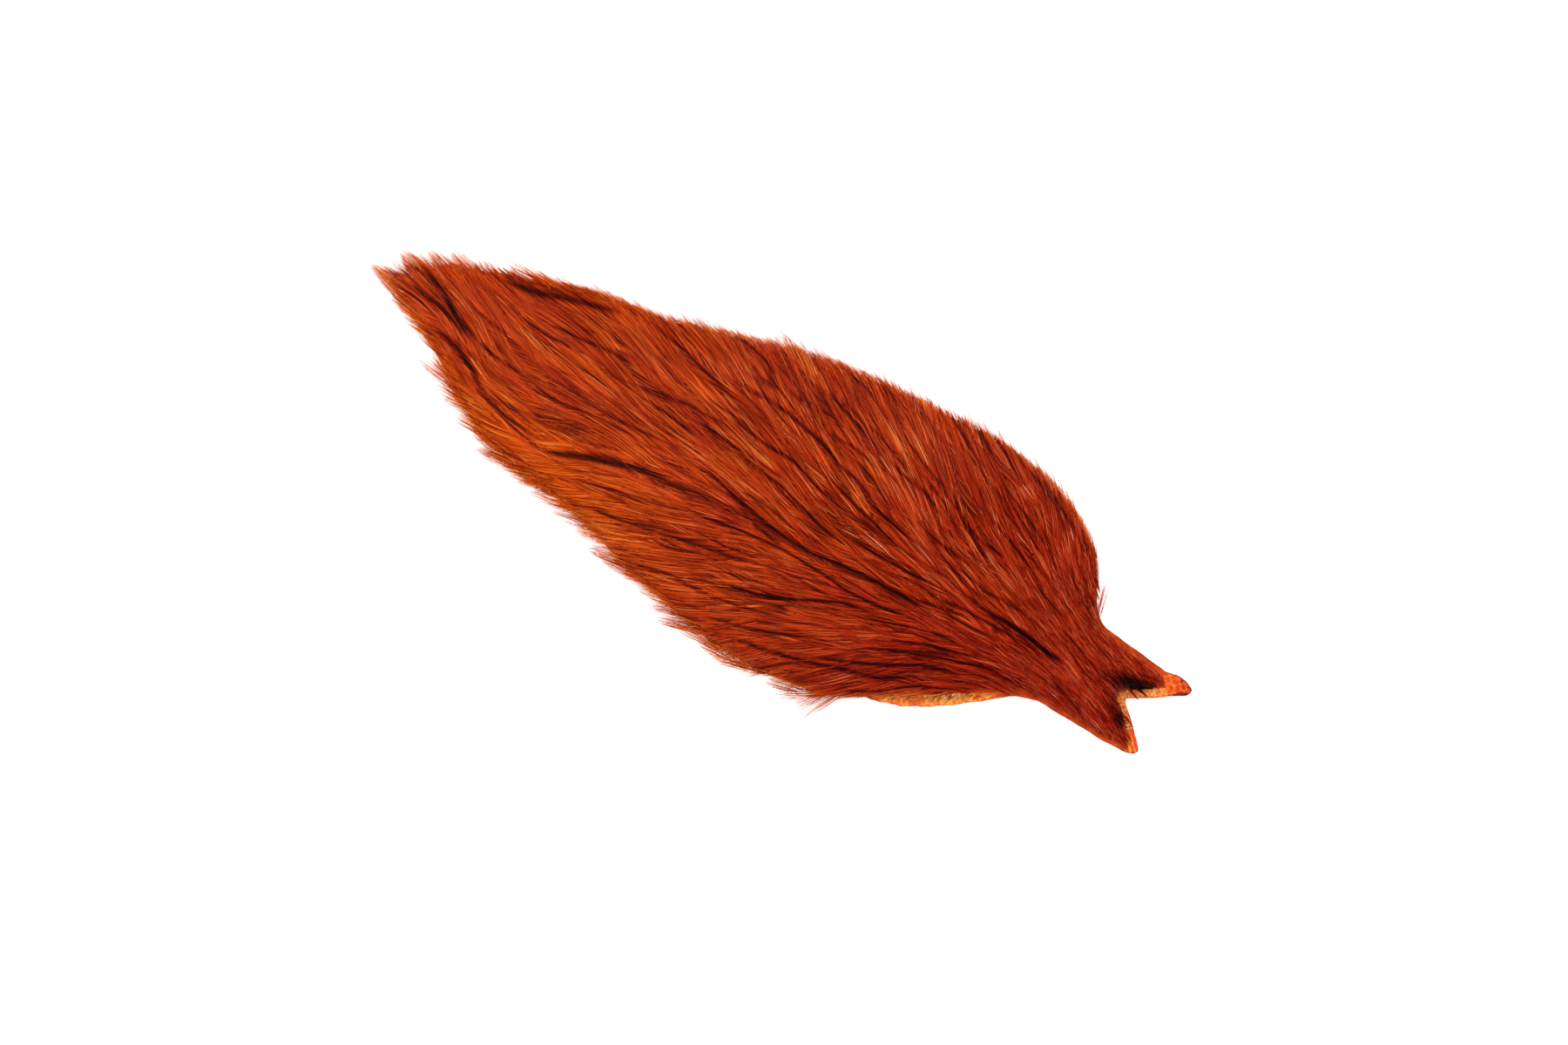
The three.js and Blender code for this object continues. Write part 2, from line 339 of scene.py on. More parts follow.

# %% [markdown]
# A feather's middle is nearly black, and it shows as a dark streak where the coat parts. The deepest partings
# are listed one by one, and the finer ones run along the lanes, on and off. Where a streak darkens the dye,
# it paints the dark middles, and in the partings also the shade that falls into the gap. An image texture
# could hold them, but the barbs also sink into them, so they are drawn once on a fine grid of numbers that
# every barb can look up.

# %% Streaks on a fine grid
PARTING_DEPTH = 0.75
PARTINGS = [  # half width, strength and points, from the fork to the tail
    # The first two, beside the notch, are painted shadow. The others paint the feathers' dark middles and the
    # shade in the gaps where the coat parts.
    (1.6, 1.4, [(98.5, -0.6), (103.5, 0.6), (107, 1), (111.4, 2.4)]),
    (1.3, 1.3, [(102.4, -7.2), (105.6, -8.8), (108.6, -11.2)]),
    (0.42, 1.1, [(101.6, -4.4), (105.2, -6.2)]), (0.32, 0.9, [(95, -11.6), (91, -10), (86, -8)]),
    (0.32, 0.6, [(96, -1), (88, 2.4), (81, 5)]),
    (0.6, 1.2, [(86, -3), (80, -2.1), (72, -0.6), (61, -0.1)]),
    (0.26, 0.8, [(82, -3.4), (68, -2.8), (56, -2.5), (48, -3.6)]),
    (0.32, 1.1, [(50, -0.5), (40, -0.6), (30, -0.3), (22, 0.4)]),
    (0.32, 0.8, [(60, -3.6), (52, -4.8), (44, -6)]),
    (0.42, 1.1, [(48, -7), (36, -6.6), (24, -6.8), (15, -7.8), (7, -7.4)]),
    (0.42, 1.0, [(17, -7.8), (8, -7.2), (0, -6), (-5, -4.8), (-11, -3.3), (-18, -1)]),
    (0.38, 0.8, [(9, -10), (-1, -7.8), (-7, -5.4)]), (0.26, 0.8, [(17, -4.4), (11, -4), (6, -3.4)]),
    (0.32, 1.0, [(46, -10.8), (38, -11.8), (28, -12.1), (20, -11), (8, -10.2), (-2, -10.8), (-13, -12.2)]),
    (0.26, 0.8, [(60, -10), (48, -12.5), (40, -14.8), (31, -17.6)]),
    (0.26, 0.8, [(68, -11.4), (54, -14.6), (44, -18)]),
    (0.38, 1.0, [(35, -14), (28, -15.4), (22, -18), (15, -21.3), (8, -23.6), (-2, -25.2)]),
    (0.38, 1.0, [(63, -18), (54, -20.2), (48, -23.3), (40, -27), (29, -31)]),
    (0.26, 0.8, [(72, -12.6), (60, -15.6), (42, -21.6)]),
    (0.38, 1.0, [(53, -24.6), (44, -29), (36, -30.6), (28, -33), (18, -35.2), (6, -36.8)]),
    (0.32, 0.9, [(25, -27.2), (16, -30.5), (8, -33), (-1, -34.6)]),
    (0.32, 0.8, [(11, -27.4), (0, -29.2), (-14, -30)]),
    (0.32, 0.9, [(2, -17.4), (-10, -19.2), (-18, -20.4), (-30, -22.6), (-42, -24)]),
    (0.26, 0.7, [(6, -15), (-4, -16.4), (-13, -16.4)]),
    (0.38, 1.1, [(29, 5.4), (22, 7.6), (17, 9.3), (10, 11.8)]),
    (0.26, 0.9, [(30, 9.4), (26, 13), (21, 16.2), (14, 19.4)]),
    (0.32, 1.0, [(18, 5.7), (12, 7.1), (6, 9), (0, 11.2), (-8, 11.6), (-18, 13.6)]),
    (0.26, 0.8, [(21, 19.2), (14, 21.2), (3, 21.9)]),
    (0.38, 1.0, [(21, -1.8), (14, -0.6), (8, 1.6), (2, 3.6), (-4, 4.8), (-12, 6.2)]),
    (0.38, 1.0, [(14, 13.8), (9, 16.9), (4, 18.8), (-2, 20.4), (-10, 22), (-22, 22.4)]),
    (0.26, 0.8, [(6, 25.6), (0, 26.3), (-8, 26), (-21, 25.6)]),
    (0.32, 0.9, [(41, 16), (35, 19.3), (29, 20.4), (21, 22.8)]),
    (0.32, 0.8, [(15, 25), (8, 28.3), (2, 30.4), (-6, 31)]),
    (0.26, 0.7, [(28, 22.2), (20, 25.8), (12, 29.6)]), (0.26, 0.7, [(41, 22), (32, 25.2), (23, 30)]),
    (0.32, 0.9, [(51, 8.4), (43, 9.8), (36, 11.8)]),
    (0.26, 0.8, [(61, 14), (51, 15.6), (45, 19), (36, 23)]),
    (0.32, 0.8, [(73, 11), (66, 15.5), (60, 18.3), (51, 22.2)]),
    (0.26, 0.8, [(82, 7.2), (73, 10.6), (67, 14.4)]), (0.26, 0.8, [(72, 4), (60, 4.2), (48, 6.8)]),
    (0.26, 0.7, [(70, 21), (60, 26.4), (50, 31.4)]), (0.26, 0.6, [(56, 26), (46, 30.4), (37, 35)]),
    (0.8, 1.1, [(-24, -7.8), (-35, -9.2), (-45, -12), (-52, -14.4), (-58, -16.4)]),
    (0.32, 0.8, [(-18, 10.8), (-30, 11.6), (-38, 10.8), (-48, 9.2)]),
    (0.32, 0.7, [(-48, -6.4), (-58, -7.6), (-68, -9.8)]),
    (0.32, 0.7, [(-26, -16), (-36, -16.8), (-47, -18.8)]),
    (0.32, 0.8, [(-68, -1.9), (-78, -0.8), (-87, 1)]),
    (0.7, 1, [(-79, -9.8), (-84.5, -6), (-90, -3), (-99, -1.2)]),
    (0.8, 1, [(-86, 1), (-94, 4), (-100, 8.4), (-108, 11)]),
    (0.7, 0.9, [(-88, 0.6), (-97, 4), (-109, 6.3)]),
    (0.38, 0.9, [(-61, -13.9), (-70, -13), (-81, -10.4)]),
    (0.8, 0.8, [(-57, 24.4), (-68, 22.3), (-78, 19.4), (-87, 18.2)]),
    (1.3, 0.5, [(-4, -8.2), (-16, -8.2), (-30, -8.4), (-40, -9.6), (-50, -13)]),
    (0.9, 0.5, [(-14, -2), (-4, -5.4), (4, -7.2), (16, -7.6), (34, -6.8), (46, -7)]),
    (0.9, 0.4, [(32, 4.6), (22, 5.6), (13, 6.2)]), (0.8, 0.35, [(-14, 10.8), (-32, 11.2), (-46, 9)]),
    (1.0, 0.35, [(4, -17), (-10, -18.8), (-20, -20.2), (-34, -22.4)]),
    (0.9, 0.35, [(-50, -8), (-66, -10.4), (-78, -10)]),
    (0.9, 0.35, [(14, -0.6), (4, 2.6), (-10, 5.6), (-22, 6.8)]),
    (0.8, 0.35, [(84, -2.6), (74, -1), (62, 0)]),
]
GRID_STEP = 0.25
GRID_LOW = (-135.0, -60.0)
GRID_CELLS = (1060, 480)
STREAK_REACH = 10  # cells
LINE_STEP = 0.2
PARTING_ENDS = 5
LANE_SWAY = 0.6


def fine_points(line):
    """Points every LINE_STEP along a line, how far along each is, and the line's length."""
    line = np.array(line, float)
    total = walked(line)[-1]
    at = np.arange(0, total, LINE_STEP)
    return *places_on(line, at), at, total


def lane_streaks(path):
    """Strength along one lane: runs of streak with gaps between them, from two sine waves of random phase."""
    x, y, at, _ = fine_points(path)
    long_wave, short_wave = random.uniform(34, 60), random.uniform(13, 20)
    phase, other = random.uniform(0, 2 * np.pi, 2)
    wave = np.sin(at * 2 * np.pi / long_wave + phase) + 0.4 * np.sin(at * 2 * np.pi / short_wave + other)
    strength = random.uniform(0.1, 0.9) * smooth(-0.3, 0.9, wave) * mix(1, 0.5, smooth(62, 82, x))
    sway = random.uniform(-LANE_SWAY, LANE_SWAY)
    sway = sway + 0.4 * np.sin(at * 2 * np.pi / random.uniform(16, 30) + other)
    way = np.arctan2(np.gradient(y), np.gradient(x))
    width = random.uniform(0.2, 0.36) * (0.6 + 0.4 * strength)
    return x - np.sin(way) * sway, y + np.cos(way) * sway, strength, width


def drawn_streaks():
    """All streaks as points with a strength and a width: lanes first, then the listed partings."""
    points = [lane_streaks(path) for path in lanes if len(path) > 8]
    for width, strength, line in PARTINGS:
        x, y, at, total = fine_points(line)
        ends = smooth(0, PARTING_ENDS, at) * smooth(0, PARTING_ENDS, total - at)
        points.append((x, y, strength * mix(0.25, 1, ends), np.full(len(x), width)))
    return [np.concatenate(column) for column in zip(*points)]


def streak_grid():
    """The grid of streak values: the largest of s exp(-(d / w)^2) over all points, for each cell."""
    x, y, strength, width = drawn_streaks()
    grid = np.zeros(GRID_CELLS)
    col = ((x - GRID_LOW[0]) / GRID_STEP).astype(int)
    row = ((y - GRID_LOW[1]) / GRID_STEP).astype(int)
    for i in range(-STREAK_REACH, STREAK_REACH + 1):
        for j in range(-STREAK_REACH, STREAK_REACH + 1):
            cell_x = (col + i) * GRID_STEP + GRID_LOW[0]
            cell_y = (row + j) * GRID_STEP + GRID_LOW[1]
            value = strength * np.exp(-(np.hypot(cell_x - x, cell_y - y) / width) ** 2)
            cell = np.clip(col + i, 0, GRID_CELLS[0] - 1), np.clip(row + j, 0, GRID_CELLS[1] - 1)
            np.maximum.at(grid, cell, value)
    return grid


streaks = streak_grid()
print("streak grid", streaks.shape, "mean", streaks.mean().round(3))


def streak_at(x, y):
    """Value of the streak grid at any place, blended from the four nearest cells."""
    col = np.clip((x - GRID_LOW[0]) / GRID_STEP, 0, GRID_CELLS[0] - 1.01)
    row = np.clip((y - GRID_LOW[1]) / GRID_STEP, 0, GRID_CELLS[1] - 1.01)
    i, j = col.astype(int), row.astype(int)
    a, b = col - i, row - j
    near = mix(streaks[i, j], streaks[i + 1, j], a)
    return mix(near, mix(streaks[i, j + 1], streaks[i + 1, j + 1], a), b)


# %% [markdown]
# Barbs leave the shaft at about eighteen degrees and curve forward until they almost follow it. Neighbours
# cling together in little packets whose tips draw to a point, and between two packets the vane is split. Hair
# curves could draw them, but a mesh keeps its shape in every program. All barbs of a row are worked out at
# once, as arrays over the barbs and over the points along each.

# %% Barbs as arrays
BARB_SEGMENTS = 8
BARB_SPACING = [(-120, 0.5), (60, 0.46), (85, 0.38), (115, 0.32)]
INNER_SPARSE = 2
VANE_LENGTH = [(-120, 36), (-60, 31), (0, 29), (60, 24), (85, 17), (115, 10)]
BARB_LENGTH = [(-120, 16), (0, 16), (50, 15), (75, 12), (90, 9.5), (115, 6)]
VANE_SHAPE = [(0, 0.8), (0.35, 1), (0.6, 1), (0.85, 0.7), (1, 0.36)]
BARB_ANGLE = math.radians(18)
BARB_FORWARD = 0.68
BARB_WIDTH = [(-120, 0.165), (60, 0.155), (88, 0.13), (115, 0.125)]
ROLL, ROLL_SPREAD = math.radians(7), math.radians(4)
PACKET_DRAW = 0.25
TAIL_CUT = 2.8
STRAY_SHARE = 0.14
LOWEST_BARB = 0.3
SHORTEST_SHARE = 0.1
PARTING = [
    (-120, 0), (-80, -6), (-60, -17), (-50, -14), (-36, -9), (4, -9.7), (30, -9), (49, -7), (86, -3),
    (120, -3),
]
PARTING_SOFTNESS = 8
FEWEST_OUTER, FEWEST_INNER = 8, 6
PACKETS = 65536
packet_noise = random.normal(0, 1, (6, PACKETS))
feather_noise = random.normal(0, 1, (5, feathers))


def barbs_of(which):
    """Lists over all barbs of some feathers: the feather, its side, the number along the vane, the vane's
    count and its length. Away from the parting the side towards it is hidden, so it has half the barbs."""
    bare_share = mix(0.28, 0.05, smooth(84, 98, tip_x[which]))
    vane = np.minimum(along(VANE_LENGTH, tip_x[which]), (1 - bare_share) * length[which])
    parting = along(PARTING, tip_x[which])
    outer = np.where(tip_y[which] > parting, 1.0, -1.0)
    middle = np.abs(tip_y[which] - parting) < PARTING_SOFTNESS
    spacing = along(BARB_SPACING, tip_x[which])
    few = np.maximum((vane / np.where(middle, spacing, INNER_SPARSE * spacing)).astype(int), FEWEST_INNER)
    both = np.concatenate([np.maximum((vane / spacing).astype(int), FEWEST_OUTER), few])
    feather = np.repeat(np.concatenate([which, which]), both)
    side = np.repeat(np.concatenate([outer, -outer]), both)
    number = np.concatenate([np.arange(n) for n in both])
    return feather, side, number, np.repeat(both, both), np.repeat(np.concatenate([vane, vane]), both)


def trim_share(root, tip, noise):
    """Share of its length that each barb keeps: the way from its root to the place that is allowed, over
    the whole way. Most barbs end within half a millimetre of the coat's edge, one in seven stands out
    further, and packets do so on the lower fringe. The tail is cut back for its tufts, and the head and the
    flap are calm."""
    from_root, from_tip = beyond_edge(root[:, 0], root[:, 1]), beyond_edge(tip[:, 0], tip[:, 1])
    x, y = root.T
    tail = smooth(-98, -107, x)
    loose = np.clip(tail + smooth(0, -12, y) * smooth(50, 40, x), 0, 1)
    calm = np.maximum(smooth(70, 84, x), 0.6 * smooth(44, 48, x) * smooth(0, -10, y))
    allowed = -0.3 + 0.9 * loose * (np.abs(noise[5]) - 0.7) + 0.3 * random.normal(0, 1, len(root))
    allowed = allowed - TAIL_CUT * tail
    stray = random.exponential(0.9, len(root)) * (random.uniform(0, 1, len(root)) < STRAY_SHARE)
    allowed = allowed + stray * mix(1, 1.5, loose) * (1 - calm)
    share = (allowed - from_root) / np.maximum(from_tip - from_root, 0.1)
    return np.where(from_tip > allowed, np.clip(share, 0, 1), 1)


def barb_lines(feather, side, number, total, vane):
    """Centre line of each barb. In plan it leaves the shaft at the barb angle and turns forward along its
    length. Its height is the coat's, less the shaft's depth, (distance from the tip / length)^1.9 of the way
    down to the skin, and the vane away from the parting is raised by the roll."""
    size = 5 + (feather * 7 + (side > 0) * 3) % 4
    packet = number // size
    place_in_packet = number - (packet + 0.5) * size + 0.5
    noise = packet_noise[:, (feather * 131 + packet * 17 + (side > 0) * 7919) % PACKETS]
    v = (number + random.uniform(0.2, 0.8, len(number))) / total
    q = 1 - (1 - v) * vane / length[feather]
    at = q * SHAFT_STEPS
    low = np.minimum(at.astype(int), SHAFT_STEPS - 1)
    way = paths[feather, low + 1] - paths[feather, low]
    root = paths[feather, low] + way * (at - low)[:, None]
    heading = np.arctan2(way[:, 1], way[:, 0])
    reach = along(BARB_LENGTH, root[:, 0]) * along(VANE_SHAPE, v)
    reach = np.minimum(reach, 0.75 * length[feather])
    reach = reach * np.clip(1 + 0.08 * noise[0] + random.normal(0, 0.05, len(v)), 0.6, 1.3)
    # Barbs of a packet turn towards its middle one, and the last barbs of a feather close over its end
    angle = BARB_ANGLE * mix(1, 0.5, smooth(0.75, 1, v)) * mix(1, 0.6, smooth(70, 95, root[:, 0]))
    angle = angle + 0.022 * noise[1] + random.normal(0, 0.01, len(v))
    drawn = PACKET_DRAW * place_in_packet * vane / total * np.sin(angle) / np.maximum(reach, 1)
    u = np.linspace(0, 1, BARB_SEGMENTS + 1)
    middle = (u[1:] + u[:-1]) / 2
    crinkle = 0.02 * np.sin(2 * np.pi * (1.3 * middle + noise[2][:, None]))
    turn = angle[:, None] * (1 - BARB_FORWARD * middle) + drawn[:, None] + crinkle
    turn = heading[:, None] - side[:, None] * turn
    step = (reach / BARB_SEGMENTS)[:, None, None] * np.stack([np.cos(turn), np.sin(turn)], 2)
    start = np.zeros((len(v), 1, 2))
    plan = root[:, None] + np.concatenate([start, np.cumsum(step, axis=1)], axis=1)
    kept = trim_share(root, plan[:, -1], noise)
    reach = reach * kept
    plan = root[:, None] + (plan - root[:, None]) * kept[:, None, None]
    sideways = side[:, None] * reach[:, None] * np.sin(angle)[:, None] * u * (1 - BARB_FORWARD * u / 2)
    parting = along(PARTING, root[:, 0])
    outer = 2 * smooth(parting - PARTING_SOFTNESS, parting + PARTING_SOFTNESS, root[:, 1]) - 1
    roll = ROLL * outer + ROLL_SPREAD * feather_noise[3, feather]
    # All barbs of a feather lie in one sheet, as deep as its shaft is at the same place along the feather
    behind = np.maximum((1 - q) * length[feather] - 0.02, 0)[:, None] - reach[:, None] * u
    depth = coat_height(root[:, 0], root[:, 1]) - SKIN_THICKNESS
    sunk = depth[:, None] * (np.maximum(behind, 0) / length[feather][:, None]) ** SHAFT_RISE
    height = coat_height(plan[..., 0], plan[..., 1]) - sunk + lift[feather][:, None]
    height = height + np.tan(roll)[:, None] * sideways + 0.08 * noise[3][:, None] * u
    height = height - PARTING_DEPTH * streak_at(plan[..., 0], plan[..., 1])
    height = height * (1 - droop(plan[..., 0], plan[..., 1]))
    return plan, np.maximum(height, LOWEST_BARB + 0.4 * (1 - u)), u, noise, kept > SHORTEST_SHARE


# %% [markdown]
# A barb is a flat strip that narrows to a point. A bevelled curve would give it a round section and dozens of
# faces. A ribbon of two edges that meet at the tip needs only fifteen triangles, so tens of thousands of them
# make a light mesh. Each ribbon's corners also hold two numbers for its dye, which a later cell explains.

# %% Ribbons from centre lines
DYE_WIDTH = 0.002


def ribbons(plan, height, width, tilt):
    """Flat tapering ribbons round centre lines: two edges half a width to each side, tilted about the barb,
    that meet in one point at the tip. Returns corners and triangles."""
    count = len(plan)
    way = np.gradient(plan, axis=1)
    way /= np.maximum(np.linalg.norm(way, axis=2, keepdims=True), 1e-9)
    flat, steep = np.cos(tilt)[:, None], np.sin(tilt)[:, None]
    sideways = np.stack([-way[..., 1] * flat, way[..., 0] * flat, np.broadcast_to(steep, way.shape[:2])], 2)
    centre = np.concatenate([plan, height[..., None]], axis=2)
    offset = sideways * width[..., None] / 2
    edges = np.stack([(centre + offset)[:, :-1], (centre - offset)[:, :-1]], 2).reshape(count, -1, 3)
    corners = np.concatenate([edges, centre[:, -1:]], axis=1)
    per = corners.shape[1]
    low = np.arange(0, per - 3, 2)
    tip = [[per - 3, per - 2, per - 1]]
    pattern = np.concatenate([
        np.stack([low, low + 1, low + 3], 1), np.stack([low, low + 3, low + 2], 1), tip])
    faces = pattern[None] + (np.arange(count) * per)[:, None, None]
    return corners.reshape(-1, 3), faces.reshape(-1, 3)


def ribbon_dye(zone, shade):
    """Chart coordinates for a ribbon's corners. The two edges differ a little, so that no face is a mere line
    on the chart."""
    count = len(zone)
    pair = np.stack([zone[:, :-1] - DYE_WIDTH, zone[:, :-1] + DYE_WIDTH], 2).reshape(count, -1)
    zone = np.concatenate([pair, zone[:, -1:]], axis=1)
    shade = np.concatenate([np.repeat(shade[:, :-1], 2, axis=1), shade[:, -1:]], axis=1)
    return np.clip(np.stack([zone, shade], 2), 0.004, 0.996).reshape(-1, 2)


# %% [markdown]
# The solids were moved so that the origin is under their middle, so this plan has to move in the same way.
# The skin's box in the frame tells by how much. A mesh takes whole arrays at once with foreach_set, which is
# far quicker than adding its corners one by one.

# %% Meshes at their place in the frame
SKIN_MIDDLE = (24.6, 0.8)
low, high = np.array(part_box("skin")) / MM
plan_shift = np.array([(low[0] + high[0]) / 2 - SKIN_MIDDLE[0], (low[1] + high[1]) / 2 - SKIN_MIDDLE[1], 0])
print("plan shift in mm:", plan_shift.round(3))


def join(parts):
    """Joins (corners, faces, extra) tuples into one, with the faces' numbers moved on."""
    corners, faces, extra, start = [], [], [], 0
    for points, triangles, more in parts:
        corners.append(points)
        faces.append(triangles + start)
        extra.append(more)
        start += len(points)
    return np.concatenate(corners), np.concatenate(faces), np.concatenate(extra)


def wall(a, b, count):
    """Two triangles for each side from corner a to corner b of an upper face, down to the same corners of the
    lower face, whose numbers are count higher."""
    return np.concatenate([np.stack([a, a + count, b + count], 1), np.stack([a, b + count, b], 1)])


def mesh_piece(name, corners, faces, replaces):
    """A Blender mesh from arrays in plan millimetres, at its place in the frame, in place of a solid."""
    flat = (corners + plan_shift) * MM
    faces = np.asarray(faces, np.int32)
    mesh = bpy.data.meshes.new(name)
    mesh.vertices.add(len(flat))
    mesh.vertices.foreach_set("co", flat.astype(np.float32).ravel())
    mesh.loops.add(faces.size)
    mesh.loops.foreach_set("vertex_index", faces.ravel())
    mesh.polygons.add(len(faces))
    mesh.polygons.foreach_set("loop_start", np.arange(0, faces.size, 3, dtype=np.int32))
    mesh.update(calc_edges=True)
    mesh.shade_smooth()
    piece = bpy.data.objects.new(name, mesh)
    bpy.context.scene.collection.objects.link(piece)
    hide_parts(replaces)
    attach(piece, "root")
    return piece


# %% [markdown]
# The colour of every barb is a place on a small dye chart. Across the chart the dye goes from the crimson of
# the head end to the rust and orange further back. Up the chart the shade goes from the dark of the feather's
# middle to the pale gloss of a barb's tip. Each barb holds its place on the chart as UV coordinates, which
# the material reads, so that no picture is needed and the colour stays with the barb.

# %% Dye chart coordinates
DEPTH = [(-120, 0.58), (-60, 0.6), (-20, 0.54), (20, 0.47), (45, 0.35), (75, 0.21), (112, 0.14)]
BODY = [(-120, 0.475), (-50, 0.47), (-10, 0.485), (60, 0.48), (90, 0.485)]
ZONE_SPREAD = 0.065
SHAFT_SHADE, DARK_SHAFT_SHADE = 0.46, 0.24
# Darkening in the streaks: the feathers' own dark middles, and painted shade in the partings.
STREAK_DYE_AND_SHADE = 0.46
# Painted glow of light through the outermost ends.
PAINTED_GLOW_AT_ENDS = 0.16


def dye_zone(x, y):
    """0 crimson, 0.5 rust, 1 orange: by place along the cape, redder right of the parting near the head and
    more orange towards the right edge at the back. On the rim it is painted more orange for light shining
    through the thin ends."""
    red = smooth(5, 45, x) * smooth(2, -14, y)
    orange = smooth(5, -50, x) * smooth(-2, -18, y)
    # The last term is painted light: a more orange rim, for light shining through the thin ends.
    return along(DEPTH, x) - 0.12 * red + 0.3 * orange + 0.5 * smooth(2.6, 0.2, from_side(x, y))


def body_shade(x, y, noise, feather, strand):
    """The shade of a whole barb: by place, and with small differences by feather, by packet and by barb. The
    left side is painted a little darker and the lower side near its edge a little lighter, against the way
    the key light falls on them. A few barbs are painted much darker, for the shade in fine gaps of the vane."""
    body = along(BODY, x) + 0.035 * feather_noise[2, feather] + 0.03 * noise[5] + 0.045 * strand
    body = body - 0.02 * smooth(20, 50, x) * smooth(0, -6, y) * smooth(-26, -20, y)
    # Painted shade: darker on the left side, which the key light reaches most.
    body = body - 0.02 * smooth(6, 22, y) * smooth(80, 40, x)
    # Painted light: lighter on the lower side near its edge, which slopes away from the key light.
    body = body + 0.055 * (smooth(0, -0.4, across(x, y)) * smooth(11, 0, from_side(x, y)))
    body = body + 0.03 * (smooth(5, -40, x) * smooth(-4, -16, y))
    # Painted shade: a few barbs much darker, for the fine gaps in the vane.
    return body - 0.2 * smooth(0.6, 1.2, -strand) + random.normal(0, 0.07, len(body))


def dye_of(plan, u, number, side, feather, noise):
    """Chart coordinates of each barb's points. The shade starts dark at the shaft and soon reaches the barb's
    own. Some strands get a painted highlight, the rim and the outer ends a painted glow of light shining
    through them, and the streaks of the coat darken it again: the feathers' dark middles, and painted shade
    in the partings."""
    x, y = plan[..., 0], plan[..., 1]
    spread = ZONE_SPREAD * mix(1.4, 1, smooth(-40, 40, x))
    zone = dye_zone(x, y) + spread * np.clip(noise[4] + 1.2 * feather_noise[0, feather], -2, 2)[:, None]
    strand = packet_noise[0, (feather * 577 + number * 31 + (side > 0) * 4099) % PACKETS]
    dark = np.clip(0.5 + 0.4 * feather_noise[1, feather], 0, 1)[:, None]
    body = body_shade(x[:, 0], y[:, 0], noise, feather, strand)
    shade = mix(mix(SHAFT_SHADE, DARK_SHAFT_SHADE, dark), body[:, None], smooth(0.02, 0.2, u))
    # Painted highlight: on the left half and at the head some strands are paler from a little way out, for
    # the sheen of their barbs.
    upper = smooth(-70, 10, x[:, 0]) * smooth(-12, 6, y[:, 0])
    painted_sheen = 0.06 + 0.11 * np.maximum(upper, 0.8 * smooth(60, 80, x[:, 0]))
    sheen_strands = smooth(0.4, 1.6, strand + 0.3 * noise[4] + 0.4 * feather_noise[4, feather])
    shade = shade + (painted_sheen * sheen_strands)[:, None] * smooth(0.1, 0.4, u)
    # Painted light: ends near the edge are paler and the outermost ones golden, for light shining through
    # them.
    rim = smooth(2, 0, from_side(x, y)) * smooth(0.3, 1, u)
    lower = smooth(0, -0.4, across(x, y))
    rim_glow_gain = np.maximum(mix(0.1, 0.24, smooth(50, 78, x)), 0.2 * lower)
    golden = PAINTED_GLOW_AT_ENDS * smooth(0.9, -0.2, from_side(x, y)) * smooth(0.6, 1, u)
    return zone + golden, shade + rim_glow_gain * rim + golden - STREAK_DYE_AND_SHADE * streak_at(x, y)


print("dye zone at the tail, middle and head:", dye_zone(np.array([-110, 0, 100]), 0).round(2))

# %% [markdown]
# Under the barbs lies the dense, dark down of the coat. Nobody sees its single tufts, so it is a padded sheet
# that fills the coat up to a little under the barbs, and no gap between two feathers shows the floor. Its
# dark colour is partly the down's own and partly painted shade deep in the coat. It is made row by row, from
# one row's end to the next.

# %% Down under the barbs
ROW_ENDS = [-100, -64, -31, 0, 27, 51, 80]
PAD_ENDS = [-111] + ROW_ENDS
DOWN_STEPS = 28
DOWN_SPACING = 1.6
DOWN_ROUND = 0.78
OVER_SKIN, OVER_TABLE = 0.1, 0.3
LOW_INSET, HIGH_INSET = 0.6, 1.5
TAIL_NARROWING = 4.6


def beyond_skin(x, y):
    """0 over the skin and 1 from a millimetre beyond its edge."""
    return np.clip(outside_of(SKIN_OUTLINE, x, y), 0, 1)


def down_pad(first, last, low_edge, high_edge, low_inset=LOW_INSET):
    """A closed pad between two x values and two edges in y, each given as a function of x. Its top is the
    coat's height times 0.78, rounded off with 1 - |t|^6, where t is the place across. Its underside lies on
    the skin, or just over the table beyond the skin."""
    x = np.linspace(first, last, max(int((last - first) / DOWN_SPACING), 4))[:, None]
    share = np.sin(np.linspace(-np.pi / 2, np.pi / 2, DOWN_STEPS))[None] * 0.5 + 0.5
    pointed = TAIL_NARROWING * smooth(-98, -111, x)
    low_y, high_y = low_edge(x) + low_inset + pointed, high_edge(x) - HIGH_INSET - pointed
    y = mix(low_y, np.maximum(high_y, low_y + 0.4), share)
    x = np.broadcast_to(x, y.shape)
    round_off = (1 - np.abs(2 * share - 1) ** 6) * np.clip((x + 108) / 24, 0.05, 1)
    round_off = round_off * mix(1, 0.3, smooth(94, 106, x))
    bottom = mix(SKIN_THICKNESS + OVER_SKIN, OVER_TABLE, beyond_skin(x, y))
    top = coat_height(x, y) * (1 - droop(x, y)) * DOWN_ROUND
    top = bottom + 0.1 + np.maximum(top - bottom - 0.4, 0.3) * round_off
    sheet, under = np.stack([x, y, top], 2), np.stack([x, y, bottom], 2)
    corners = np.concatenate([sheet.reshape(-1, 3), under.reshape(-1, 3)])
    index = np.arange(y.size).reshape(y.shape)
    a, b, c, d = index[:-1, :-1], index[1:, :-1], index[1:, 1:], index[:-1, 1:]
    face = np.concatenate([np.stack(three, -1).reshape(-1, 3) for three in ([a, b, c], [a, c, d])])
    rim = np.concatenate([index[:, 0], index[-1, 1:], index[-2::-1, -1], index[0, -2:0:-1]])
    faces = np.concatenate([face, face[:, ::-1] + y.size, wall(rim, np.roll(rim, -1), y.size)])
    return corners, faces


